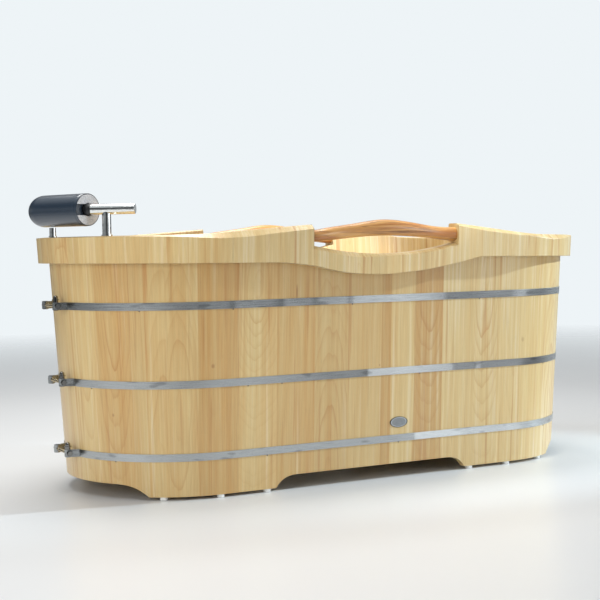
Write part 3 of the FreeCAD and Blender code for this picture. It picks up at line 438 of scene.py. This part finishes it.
def stave_wood():
    material, tree = new_material("lacquered stave")
    across, depth, height, far = round_the_tub(tree)
    turned = calc(tree, "MULTIPLY", across, calc(tree, "MULTIPLY_ADD", far, -2.0, 1.0))
    number = 0.0
    for row in wall_boards[1:]:
        number = calc(tree, "ADD", number, calc(tree, "GREATER_THAN", turned, row[0]))
    looks = board_table(tree, number, [(tone / 2, (warmth + 0.5) / 1.5, rings_shown)
                                       for _, tone, warmth, rings_shown, *_ in wall_boards])
    hearts = board_table(tree, number, [((heart_along + 1.0) / 2, heart_height, taper)
                                        for *_, heart_along, heart_height, taper in wall_boards])
    board = calc(tree, "ADD", calc(tree, "MULTIPLY", number, 0.618), calc(tree, "MULTIPLY", far, 3.7))
    from_heart = calc(tree, "SUBTRACT", turned, calc(tree, "MULTIPLY_ADD", hearts[0], 2.0, -1.0))
    heart_rise = calc(tree, "SUBTRACT", height, hearts[1])
    tone = calc(tree, "MULTIPLY", looks[0], 2.0)
    warmth = calc(tree, "MULTIPLY_ADD", looks[1], 1.5, -0.5)
    colour, bump = grain(tree, turned, depth, height, board, tone, warmth, looks[2], from_heart,
                         heart_rise, hearts[2])
    for run, knot_height, half_width, half_height, strength in wall_knots:
        aside = calc(tree, "DIVIDE", calc(tree, "SUBTRACT", turned, run), half_width)
        above = calc(tree, "DIVIDE", calc(tree, "SUBTRACT", height, knot_height), half_height)
        out = calc(tree, "ADD", calc(tree, "MULTIPLY", aside, aside),
                   calc(tree, "MULTIPLY", above, above))
        colour = blend(tree, spread(tree, out, 0.1, 1.0, strength, 0.0), colour, knot_wood)
    return lacquered(material, tree, colour, bump)


stave = stave_wood()
for name, node in nodes.items():
    if name.startswith("stave_"):
        wear(node, stave)

# Rim: upright blocks of the same wood, glued into a thick ring, sawn to its wave and shaped, so
# that each block shows its own short piece of grain. Its edges are sanded round under the lacquer.
block_width = 0.058
block_taper = 0.22
rim_rounding = 0.003


def rim_wood():
    material, tree = new_material("lacquered rim")
    across, depth, height, far = round_the_tub(tree)
    wobble = stretched_noise(tree, across, 0.0, far, (11.0, 1.0, 1.0), 0.0)
    places = calc(tree, "ADD", calc(tree, "DIVIDE", across, block_width), calc(tree, "MULTIPLY", wobble, 4.0))
    count = calc(tree, "FLOOR", places)
    number = calc(tree, "MULTIPLY_ADD", far, 61.0, count)
    own = put(tree, "ShaderNodeTexWhiteNoise", {"W": number}, noise_dimensions="1D")
    values = put(tree, "ShaderNodeSeparateColor", {0: own.outputs["Color"]}).outputs
    tone = spread(tree, values[0], 0.0, 1.0, 0.95, 1.06)
    warmth = spread(tree, values[1], 0.0, 1.0, -0.34, 0.22)
    rings_shown = spread(tree, values[0], 0.0, 1.0, 0.05, 0.75)
    middle = calc(tree, "MULTIPLY", calc(tree, "SUBTRACT", calc(tree, "SUBTRACT", places, count),
                                         calc(tree, "MULTIPLY_ADD", values[2], 4.0, -1.5)), block_width)
    heart_rise = calc(tree, "SUBTRACT", height, calc(tree, "MULTIPLY_ADD", values[1], 0.3, 0.45))
    colour, bump = grain(tree, across, depth, height, values[2], tone, warmth, rings_shown, middle,
                         heart_rise, block_taper)
    return lacquered(material, tree, colour, bump, rounding=rim_rounding)


rim = rim_wood()
for name in ("rim_near", "rim_far", "rim_head", "rim_foot"):
    wear(nodes[name], rim)

# Floor: planks of the same wood along the tub, held in a groove of the staves and lacquered. They
# lie on plain battens, which run across under them.
floor_plank_count = 5
floor_rings_shown = 0.5
floor_taper = 0.05


def plank_wood(name, tone_of_all, lengthwise):
    material, tree = new_material(name)
    place = put(tree, "ShaderNodeTexCoord").outputs["Object"]
    parts = put(tree, "ShaderNodeSeparateXYZ", {0: place}).outputs
    across, along = (parts["Y"], parts["X"]) if lengthwise else (parts["X"], parts["Y"])
    low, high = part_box("floor_planks")
    plank_width = (high.y - low.y) / floor_plank_count
    places = calc(tree, "DIVIDE", calc(tree, "SUBTRACT", parts["Y"], low.y), plank_width)
    count = calc(tree, "FLOOR", places)
    own = put(tree, "ShaderNodeTexWhiteNoise", {"W": count}, noise_dimensions="1D")
    values = put(tree, "ShaderNodeSeparateColor", {0: own.outputs["Color"]}).outputs
    tone = spread(tree, values[0], 0.0, 1.0, 0.96 * tone_of_all, 1.05 * tone_of_all)
    middle = calc(tree, "MULTIPLY", calc(tree, "SUBTRACT", calc(tree, "SUBTRACT", places, count),
                                         calc(tree, "MULTIPLY_ADD", values[2], 1.6, -0.3)), plank_width)
    warmth = spread(tree, values[1], 0.0, 1.0, 0.1, 0.45)
    colour, bump = grain(tree, across, parts["Z"], along, values[2], tone, warmth, floor_rings_shown,
                         middle, along, floor_taper)
    return lacquered(material, tree, colour, bump)


wear(nodes["floor_planks"], plank_wood("lacquered plank", 1.0, True))
wear(nodes["floor_battens"], plank_wood("plain batten", 0.9, False))

# Handles: a peeled branch over each dip of the rim, tenoned into the shoulders at both ends. It is
# thickest near its middle, and oiled darker than the tub, with streaks along its length.
branch_pale = (0.650, 0.345, 0.108)
branch_brown = (0.430, 0.165, 0.036)
branch_dark = (0.190, 0.075, 0.024)
branch_roughness = 0.28
streak_scales = (150.0, 150.0, 6.0)
patch_scales = (60.0, 60.0, 4.0)
fine_scales = (620.0, 620.0, 24.0)


def branch_wood():
    material, tree = new_material("oiled branch")
    place = put(tree, "ShaderNodeTexCoord").outputs["Object"]
    parts = put(tree, "ShaderNodeSeparateXYZ", {0: place}).outputs
    streaks = stretched_noise(tree, parts["Y"], parts["Z"], parts["X"], streak_scales, 3.0, 0.6)
    patches = stretched_noise(tree, parts["Y"], parts["Z"], parts["X"], patch_scales, 2.0, 0.4)
    fine = stretched_noise(tree, parts["Y"], parts["Z"], parts["X"], fine_scales, 2.0)
    colour = blend(tree, spread(tree, patches, 0.36, 0.62), branch_pale, branch_brown)
    colour = blend(tree, spread(tree, streaks, 0.52, 0.66, 0.0, 0.8), colour, branch_dark)
    colour = blend(tree, 1.0, colour, grey_of(tree, spread(tree, fine, 0.3, 0.7, 0.88, 1.08)), "MULTIPLY")
    return lacquered(material, tree, colour, calc(tree, "ADD", fine, streaks), branch_roughness)


branch = branch_wood()
for name in ("handle_near", "handle_far"):
    wear(nodes[name], branch)

# Hoops: thin brushed steel bands, driven down over the leaning staves and drawn tight. They were
# rolled by hand. The room's reflection, in long bright and dark stretches along each band, and darker spots
# where it has small dents, are painted into its colour.
band_half_run = 0.95
wave_scales = (7.0, 1.0, 9.0)
dent_shade_scales = (16.0, 1.0, 60.0)
brush_scales = (14.0, 300.0, 2600.0)
wave_depth = 0.0020
dent_shade_level = 0.7
# Each stretch of painted reflection: its place along the wall, in metres from the middle, and how bright the
# reflection is painted there.
upper_painted_reflection = ((-0.95, 0.40), (-0.80, 0.44), (-0.66, 0.56), (-0.55, 0.50), (-0.42, 0.38),
                (-0.404, 0.22), (-0.39, 0.44), (-0.30, 0.34), (-0.276, 0.22), (-0.262, 0.42),
                (-0.20, 0.36), (-0.183, 0.24), (-0.17, 0.42), (-0.10, 0.50), (-0.086, 0.30),
                (-0.075, 0.60), (0.0, 0.64), (0.13, 0.58), (0.185, 0.42), (0.20, 0.24),
                (0.40, 0.28), (0.44, 0.55), (0.62, 0.90), (0.95, 0.4))
middle_painted_reflection = ((-0.95, 0.40), (-0.70, 0.56), (-0.55, 0.48), (-0.42, 0.46), (-0.33, 0.46),
                 (-0.16, 0.30), (-0.036, 0.26), (-0.031, 0.58), (0.06, 0.60), (0.18, 0.50),
                 (0.219, 0.46), (0.224, 0.26), (0.29, 0.24), (0.30, 0.48), (0.31, 0.24),
                 (0.50, 0.28), (0.62, 0.70), (0.95, 0.4))
lower_painted_reflection = ((-0.95, 0.40), (-0.66, 0.54), (-0.40, 0.46), (0.05, 0.36), (0.107, 0.38),
                (0.112, 0.58), (0.24, 0.54), (0.262, 0.46), (0.36, 0.44), (0.44, 0.50),
                (0.56, 0.56), (0.70, 0.6), (0.95, 0.4))


def band_steel(name, painted_reflection, own):
    material, tree = new_material(name)
    across, depth, height, far = round_the_tub(tree)
    waves = stretched_noise(tree, across, calc(tree, "ADD", far, own), height, wave_scales, 1.0)
    dent_shade = stretched_noise(tree, across, calc(tree, "ADD", far, own), height, dent_shade_scales, 1.0)
    brush = stretched_noise(tree, across, depth, height, brush_scales, 2.0)
    # Painted reflection of the room: bright and dark stretches along the band, set into its colour.
    reflection_ramp = from_levels(tree, across, -band_half_run, band_half_run, painted_reflection)
    level = put(tree, "ShaderNodeSeparateColor", {0: reflection_ramp}).outputs[0]
    level = calc(tree, "ADD", level, spread(tree, brush, 0.3, 0.7, -0.04, 0.04))
    # Painted shade: darker spots in the colour, standing for small dents in the band.
    level = calc(tree, "MULTIPLY", level, spread(tree, dent_shade, 0.62, 0.70, 1.0, dent_shade_level))
    colour = put(tree, "ShaderNodeCombineColor", {0: calc(tree, "MULTIPLY", level, 0.96), 1: level,
                                                  2: calc(tree, "MULTIPLY", level, 1.02)}).outputs[0]
    height_sum = calc(tree, "ADD", waves, calc(tree, "MULTIPLY", brush, 0.01))
    bump = put(tree, "ShaderNodeBump", {"Height": height_sum, "Strength": 1.0, "Distance": wave_depth})
    shader = put(tree, "ShaderNodeBsdfPrincipled", {
        "Base Color": colour, "Metallic": 1.0, "Roughness": spread(tree, brush, 0.3, 0.7, 0.22, 0.34),
        "Normal": bump.outputs[0]})
    return finish_material(material, shader.outputs[0])


wear(nodes["hoop_upper"], band_steel("brushed upper band", upper_painted_reflection, 0.0))
wear(nodes["hoop_middle"], band_steel("brushed middle band", middle_painted_reflection, 5.0))
wear(nodes["hoop_lower"], band_steel("brushed lower band", lower_painted_reflection, 9.0))

# Nails: small round-headed nails, driven into the staves close under each hoop so that it can't
# slip down when the wood dries. They stand at uneven distances, as they were set by eye.
nail_radius = 0.0018
nail_height = 0.0010
hoop_edge_drop = 0.0105
wall_half_width = 0.312
wall_width_height = 0.550
wall_lean = 0.0588
# Under each hoop, where its nails are along the wall, in metres from the middle.
nail_runs = {"hoop_upper": (-0.62, -0.402, -0.080, 0.30, 0.66),
             "hoop_middle": (-0.762, -0.362, -0.272, 0.12, 0.538),
             "hoop_lower": (-0.70, -0.31, 0.06, 0.555)}
nail_colour = (0.16, 0.15, 0.14)


def wall_spot(run, height, far):
    """A point on the staves' outer face, a length round the wall from the middle, and its way out."""
    distance = wall_half_width + wall_lean * (height - wall_width_height)
    held = max(-side_half, min(side_half, run))
    turn = (run - held) / turn_radius
    side = 1.0 if far else -1.0
    out = Vector((math.sin(turn), side * math.cos(turn), 0.0))
    spot = Vector((tub_middle + held, 0.0, height)) + out * distance
    return spot, (out - Vector((0.0, 0.0, wall_lean))).normalized()


def run_tree(name, start, tree, sizes):
    """Run a geometry tree on an object, and keep the result as a plain mesh under the name."""
    modifier = start.modifiers.new(name, "NODES")
    modifier.node_group = tree
    for item in tree.interface.items_tree:
        if item.item_type == "SOCKET" and item.in_out == "INPUT" and item.name in sizes:
            modifier[item.identifier] = sizes[item.name]
    bpy.context.view_layer.update()
    graph = bpy.context.evaluated_depsgraph_get()
    mesh = bpy.data.meshes.new_from_object(start.evaluated_get(graph), depsgraph=graph)
    start.modifiers.remove(modifier)
    bpy.data.objects.remove(start)
    piece = bpy.data.objects.new(name, mesh)
    bpy.context.scene.collection.objects.link(piece)
    return piece


def new_tree(name, sizes):
    """An empty geometry tree with a named number for each size."""
    tree = bpy.data.node_groups.new(name, "GeometryNodeTree")
    tree.interface.new_socket("Geometry", in_out="INPUT", socket_type="NodeSocketGeometry")
    for size in sizes:
        tree.interface.new_socket(size, in_out="INPUT", socket_type="NodeSocketFloat")
    tree.interface.new_socket("Geometry", in_out="OUTPUT", socket_type="NodeSocketGeometry")
    return tree, put(tree, "NodeGroupInput").outputs


def close_tree(tree, shape, material):
    """Realize what the tree made, smooth it and give it its material."""
    real = put(tree, "GeometryNodeRealizeInstances", {0: shape})
    smooth = put(tree, "GeometryNodeSetShadeSmooth", {0: real.outputs[0]})
    dressed = put(tree, "GeometryNodeSetMaterial", {0: smooth.outputs[0], "Material": material})
    tree.links.new(dressed.outputs[0], put(tree, "NodeGroupOutput").inputs[0])


def plain_metal(name, colour, roughness, wave=0.0, speck=0.0):
    """Polished or satin metal with faint polishing marks."""
    material, tree = new_material(name)
    place = put(tree, "ShaderNodeTexCoord").outputs["Object"]
    marks = put(tree, "ShaderNodeTexNoise", {"Vector": place, "Scale": 900.0, "Detail": 2.0}).outputs["Fac"]
    swell = put(tree, "ShaderNodeTexNoise", {"Vector": place, "Scale": 60.0, "Detail": 1.0}).outputs["Fac"]
    level = spread(tree, marks, 0.35, 0.65, 1.0 - speck, 1.0 + speck)
    tinted = blend(tree, 1.0, colour, grey_of(tree, level), "MULTIPLY")
    bump = put(tree, "ShaderNodeBump", {"Height": swell, "Strength": wave, "Distance": 0.001})
    shader = put(tree, "ShaderNodeBsdfPrincipled", {
        "Base Color": tinted, "Metallic": 1.0,
        "Roughness": spread(tree, marks, 0.3, 0.7, roughness * 0.8, roughness * 1.2),
        "Normal": bump.outputs[0]})
    return finish_material(material, shader.outputs[0])


def make_nails():
    places = []
    for hoop, runs in nail_runs.items():
        low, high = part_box(hoop)
        height = (low.z + high.z) / 2 - hoop_edge_drop
        for run in runs:
            places += [wall_spot(run, height, False), wall_spot(-run, height, True)]
    mesh = bpy.data.meshes.new("nail places")
    mesh.from_pydata([spot for spot, out in places], [], [])
    ways = mesh.attributes.new("way_out", "FLOAT_VECTOR", "POINT")
    for index, (spot, out) in enumerate(places):
        ways.data[index].vector = out
    start = bpy.data.objects.new("nail places", mesh)
    bpy.context.scene.collection.objects.link(start)
    tree, given = new_tree("nails under the hoops", ("Radius", "Height"))
    points = put(tree, "GeometryNodeMeshToPoints", {"Mesh": given["Geometry"]})
    ball = put(tree, "GeometryNodeMeshUVSphere", {"Segments": 12, "Rings": 8, "Radius": given["Radius"]})
    flat = put(tree, "ShaderNodeMath", {0: given["Height"], 1: given["Radius"]}, operation="DIVIDE")
    size = put(tree, "ShaderNodeCombineXYZ", {"X": 1.0, "Y": 1.0, "Z": flat.outputs[0]})
    head = put(tree, "GeometryNodeTransform", {"Geometry": ball.outputs["Mesh"], "Scale": size.outputs[0]})
    way = put(tree, "GeometryNodeInputNamedAttribute", {"Name": "way_out"}, data_type="FLOAT_VECTOR")
    turned = put(tree, "FunctionNodeAlignRotationToVector", {"Vector": way.outputs["Attribute"]}, axis="Z")
    heads = put(tree, "GeometryNodeInstanceOnPoints", {"Points": points.outputs[0],
                                                       "Instance": head.outputs[0],
                                                       "Rotation": turned.outputs[0]})
    close_tree(tree, heads.outputs[0], plain_metal("nail steel", nail_colour, 0.4))
    nails = run_tree("hoop_nails", start, tree, {"Radius": nail_radius, "Height": nail_height})
    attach(nails, "tub")


make_nails()

# Tensioners: each hoop's ends are rolled round two polished barrels, and a bolt through both draws
# the hoop tight. The bolts' threads are cut ridges, which run from barrel to barrel and at the tip.
thread_radius = 0.0030
thread_ridge = 0.00045
thread_pitch = 0.0014
# Each stretch of thread: where it begins and ends along the bolt, from midway between the barrels.
thread_stretches = ((-0.0590, -0.0530), (-0.0325, 0.0325))
bolt_colour = (0.24, 0.235, 0.225)
thread_colour = (0.46, 0.39, 0.27)
bolt_middle_reach = 0.0025
bolt_angle = math.radians(269.0)

dark_steel = plain_metal("polished bolt steel", bolt_colour, 0.13, 0.1, 0.03)
for name in ("tension_barrels", "tension_bolt_upper", "tension_bolt_middle", "tension_bolt_lower"):
    wear(nodes[name], dark_steel)


def make_thread_tree(material):
    """A ridge wound round the bolt, as long as it is asked to be."""
    tree, given = new_tree("bolt thread", ("Radius", "Ridge", "Length", "Turns"))
    spiral = put(tree, "GeometryNodeCurveSpiral", {
        "Resolution": 14, "Rotations": given["Turns"], "Start Radius": given["Radius"],
        "End Radius": given["Radius"], "Height": given["Length"]})
    ridge = put(tree, "GeometryNodeCurvePrimitiveCircle", {"Resolution": 4, "Radius": given["Ridge"]})
    wound = put(tree, "GeometryNodeCurveToMesh", {"Curve": spiral.outputs[0],
                                                  "Profile Curve": ridge.outputs[0], "Fill Caps": True})
    close_tree(tree, wound.outputs[0], material)
    return tree


def make_thread(hoop, tree, material):
    low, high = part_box("tension_bolt_" + hoop)
    ahead = Vector((math.cos(bolt_angle), math.sin(bolt_angle), 0.0))
    middle = (low + high) / 2 - ahead * bolt_middle_reach
    shape = bmesh.new()
    for begin, end in thread_stretches:
        start = bpy.data.objects.new("thread start", bpy.data.meshes.new("thread start"))
        bpy.context.scene.collection.objects.link(start)
        length = end - begin
        part = run_tree("thread part", start, tree, {"Radius": thread_radius, "Ridge": thread_ridge,
                                                     "Length": length, "Turns": length / thread_pitch})
        turn = ahead.to_track_quat("Z", "Y").to_matrix().to_4x4()
        part.data.transform(Matrix.Translation(middle + ahead * begin) @ turn)
        shape.from_mesh(part.data)
        bpy.data.objects.remove(part)
    mesh = bpy.data.meshes.new("bolt_thread_" + hoop)
    shape.to_mesh(mesh)
    shape.free()
    mesh.materials.append(material)
    thread = bpy.data.objects.new("bolt_thread_" + hoop, mesh)
    bpy.context.scene.collection.objects.link(thread)
    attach(thread, "bolt_" + hoop)


thread_steel = plain_metal("thread steel", thread_colour, 0.22)
thread_tree = make_thread_tree(thread_steel)
for hoop in ("upper", "middle", "lower"):
    make_thread(hoop, thread_tree, thread_steel)

# Oval plate: a small plate of brushed steel with a raised border, left blank, and glued to the near
# side between the two lower hoops.
# Shares of the plate's reach from its middle, where its dark edge and its pale border start.
plate_edge_start = 0.93
plate_edge_blur = 0.02
plate_border_start = 0.80
plate_border_lift = 0.20
plate_mark_scales = (260.0, 200.0, 1500.0)


def plate_steel():
    """Brushed steel with a dark edge, a pale border and a greyer middle."""
    material, tree = new_material("plate steel")
    low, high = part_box("oval_plate")
    middle = (low + high) / 2
    place = put(tree, "ShaderNodeTexCoord").outputs["Object"]
    parts = put(tree, "ShaderNodeSeparateXYZ", {0: place}).outputs
    along = calc(tree, "DIVIDE", calc(tree, "SUBTRACT", parts["X"], middle.x), high.x - middle.x)
    up = calc(tree, "DIVIDE", calc(tree, "SUBTRACT", parts["Z"], middle.z), high.z - middle.z)
    out = calc(tree, "SQRT", calc(tree, "ADD", calc(tree, "MULTIPLY", along, along),
                                  calc(tree, "MULTIPLY", up, up)))
    marks = stretched_noise(tree, parts["X"], parts["Y"], parts["Z"], plate_mark_scales, 2.0)
    border = calc(tree, "GREATER_THAN", out, plate_border_start)
    level = calc(tree, "ADD", spread(tree, marks, 0.3, 0.7, 0.17, 0.32),
                 calc(tree, "MULTIPLY", border, plate_border_lift))
    edge = spread(tree, out, plate_edge_start - plate_edge_blur, plate_edge_start, 1.0, 0.12)
    level = calc(tree, "MULTIPLY", level, edge)
    colour = put(tree, "ShaderNodeCombineColor", {0: calc(tree, "MULTIPLY", level, 0.95), 1: level,
                                                  2: calc(tree, "MULTIPLY", level, 1.04)}).outputs[0]
    shader = put(tree, "ShaderNodeBsdfPrincipled", {"Base Color": colour, "Metallic": 0.8, "Roughness": 0.36})
    return finish_material(material, shader.outputs[0])


wear(nodes["oval_plate"], plate_steel())

# Glides: white plastic buttons, each with a pin up into the lower end of a stave, which keep the
# wood off a wet floor.
glide_colour = (0.80, 0.80, 0.77)


def plastic(name, colour, roughness, grain_scale=1500.0, depth=0.05, coat=0.0):
    """Moulded plastic or foam skin with a fine grain."""
    material, tree = new_material(name)
    place = put(tree, "ShaderNodeTexCoord").outputs["Object"]
    skin = put(tree, "ShaderNodeTexNoise", {"Vector": place, "Scale": grain_scale,
                                            "Detail": 2.0}).outputs["Fac"]
    level = spread(tree, skin, 0.3, 0.7, 0.95, 1.05)
    bump = put(tree, "ShaderNodeBump", {"Height": skin, "Strength": depth, "Distance": 0.0005})
    shader = put(tree, "ShaderNodeBsdfPrincipled", {
        "Base Color": blend(tree, 1.0, colour, grey_of(tree, level), "MULTIPLY"), "Roughness": roughness,
        "Coat Weight": coat, "Coat Roughness": 0.3, "Normal": bump.outputs[0]})
    return finish_material(material, shader.outputs[0])


wear(nodes["glides"], plastic("white glide", glide_colour, 0.35))

# Headrest arm: a chrome post turns in a chrome socket in the rim and carries a chrome bar. A black
# elbow in the bar's far end carries the roll, and a thinner chrome peg stands in the rim under it.
chrome_colour = (0.80, 0.81, 0.80)
black_colour = (0.012, 0.013, 0.015)
chrome = plain_metal("chrome", chrome_colour, 0.07, 0.25)
black_plastic = plastic("black plastic", black_colour, 0.38)
for name in ("post_socket", "arm_post", "arm_bar", "roll_peg"):
    wear(nodes[name], chrome)
wear(nodes["arm_elbow"], black_plastic)

# Headrest roll: firm navy-black foam with a moulded skin, pushed over a black tube that turns on
# the elbow's axle. It is full and round, with a rolled lip round its silver end plate, a domed far
# end, and the mould's fine parting line along both sides.
roll_joint = next(joint for joint in frame["joints"] if joint["name"] == "roll_turn")
joint_reach = 0.080
roll_near_reach = 0.0056
roll_length = 0.188
roll_radius = 0.039
roll_inset = 0.0012
roll_colour = (0.013, 0.026, 0.046)
flakes_per_metre = 700.0
bore_radius = 0.0153
bore_depth = 0.1570
plate_radius = 0.0355
lip_roll = 0.0010
lip_width = 0.0060
lip_groove = 0.0006
dome_length = 0.046
seam_turns = (math.radians(-14.0), math.radians(166.0))
seam_ridge = 0.00028
seam_half_width = math.radians(1.1)
seam_clear_width = math.radians(2.42)
seam_ridge_share = 0.3
seam_groove_share = 0.7
seam_least_radius = 0.020
seam_end_gap = 0.004
roll_columns = 84


def roll_profile():
    """The roll's outline, along and out: from the bore's end, over the near end, and to the dome."""
    side = roll_radius - roll_inset
    lip_start = plate_radius + 0.0005
    points = [(share * bore_depth, bore_radius)
              for share in (1.0, 0.99, 0.95, 0.75, 0.5, 0.25, 0.07, 0.03)]
    points += [(0.0024, bore_radius), (0.0010, bore_radius + 0.001), (0.0004, 0.022), (0.0003, 0.030),
               (0.0003, plate_radius), (0.0001, plate_radius + 0.0004), (-0.0012, lip_start)]
    for step in range(6):
        turn = math.pi * 0.75 * step / 5
        points.append((-lip_roll * (1.2 + math.sin(turn)), lip_start + lip_roll * (1 - math.cos(turn))))
    points += [(0.0010, side - lip_groove * 0.3), (0.0022, side - lip_groove),
               (0.0034, side - lip_groove * 0.3), (lip_width, side + 0.0005),
               (lip_width + 0.0040, side + 0.0003)]
    first = lip_width + 0.010
    dome_start = roll_length - dome_length
    for step in range(20):
        points.append((first + (dome_start - first) * step / 19, side))
    for step in range(1, 15):
        turn = math.pi / 2 * step / 15
        points.append((dome_start + (dome_length - roll_inset) * math.sin(turn),
                       side * math.cos(turn)))
    return points


def from_seam(turn):
    """How far round the roll a turn is from the nearer parting line."""
    return min(abs(math.remainder(turn - seam, 2 * math.pi)) for seam in seam_turns)


def seam_columns():
    """Angles round the roll, closer together at the parting lines."""
    turns = [2 * math.pi * index / roll_columns for index in range(roll_columns)]
    near = [seam + share * seam_half_width for seam in seam_turns for share in (-1.0, -0.5, 0.0, 0.5, 1.0)]
    kept = [turn for turn in turns if from_seam(turn) > seam_clear_width]
    return sorted(turn % (2 * math.pi) for turn in kept + near)


def raise_seams(mesh):
    """Raise the skin along the parting lines, with a fine groove at each side."""
    for vertex in mesh.vertices:
        radius = math.hypot(vertex.co.y, vertex.co.z)
        away = from_seam(math.atan2(vertex.co.z, vertex.co.y))
        outside = radius >= seam_least_radius and 0.0 < vertex.co.x < roll_length - seam_end_gap
        if outside and away < seam_half_width * seam_groove_share:
            step = seam_ridge / radius * (1 if away < seam_half_width * seam_ridge_share else -1)
            vertex.co.y += step * vertex.co.y
            vertex.co.z += step * vertex.co.z


def make_roll():
    columns = seam_columns()
    count = len(columns)
    shape = bmesh.new()
    rings = [[shape.verts.new((along, radius * math.cos(turn), radius * math.sin(turn))) for turn in columns]
             for along, radius in roll_profile()]
    bore_end = shape.verts.new((bore_depth, 0.0, 0.0))
    tip = shape.verts.new((roll_length - roll_inset, 0.0, 0.0))
    for first, second in zip(rings, rings[1:]):
        for index in range(count):
            after = (index + 1) % count
            shape.faces.new((first[index], first[after], second[after], second[index]))
    for index in range(count):
        after = (index + 1) % count
        shape.faces.new((rings[-1][index], rings[-1][after], tip))
        shape.faces.new((bore_end, rings[0][after], rings[0][index]))
    bmesh.ops.recalc_face_normals(shape, faces=shape.faces)
    mesh = bpy.data.meshes.new("headrest_roll")
    shape.to_mesh(mesh)
    shape.free()
    roll = bpy.data.objects.new("headrest_roll", mesh)
    bpy.context.scene.collection.objects.link(roll)
    raise_seams(mesh)
    axis = Vector(roll_joint["axis"])
    start = Vector(roll_joint["pos_m"]) + axis * (roll_near_reach - joint_reach)
    mesh.transform(Matrix.Translation(start) @ Matrix.Rotation(math.atan2(axis.y, axis.x), 4, "Z"))
    for face in mesh.polygons:
        face.use_smooth = True
    finer = roll.modifiers.new("finer", "SUBSURF")
    finer.levels = finer.render_levels = 1
    return roll


roll = make_roll()
wear(roll, plastic("roll skin", roll_colour, 0.34, 420.0, 0.06, 0.9))
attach(roll, "roll")
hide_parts("roll_pad")
wear(nodes["roll_pad"], roll.data.materials[0])
wear(nodes["roll_core"], black_plastic)


def sparkling_plate():
    """Silver paint with coarse metal flakes."""
    material, tree = new_material("sparkling end plate")
    place = put(tree, "ShaderNodeTexCoord").outputs["Object"]
    flakes = put(tree, "ShaderNodeTexVoronoi", {"Vector": place, "Scale": flakes_per_metre})
    own = put(tree, "ShaderNodeSeparateColor", {0: flakes.outputs["Color"]}).outputs
    level = spread(tree, own[0], 0.0, 1.0, 0.58, 0.92)
    colour = put(tree, "ShaderNodeCombineColor", {0: calc(tree, "MULTIPLY", level, 0.98), 1: level,
                                                  2: calc(tree, "MULTIPLY", level, 1.03)}).outputs[0]
    bump = put(tree, "ShaderNodeBump", {"Height": own[1], "Strength": 0.25, "Distance": 0.0003})
    shader = put(tree, "ShaderNodeBsdfPrincipled", {
        "Base Color": colour, "Metallic": 0.1, "Roughness": 0.45, "Normal": bump.outputs[0]})
    return finish_material(material, shader.outputs[0])


wear(nodes["roll_disc"], sparkling_plate())

# Waste: a chrome outlet let into the floor planks, drawn down by a black nut under them. Its
# pop-up plug slides in a hub on three webs.
for name in ("waste_outlet", "drain_plug"):
    wear(nodes[name], chrome)
wear(nodes["waste_nut"], black_plastic)
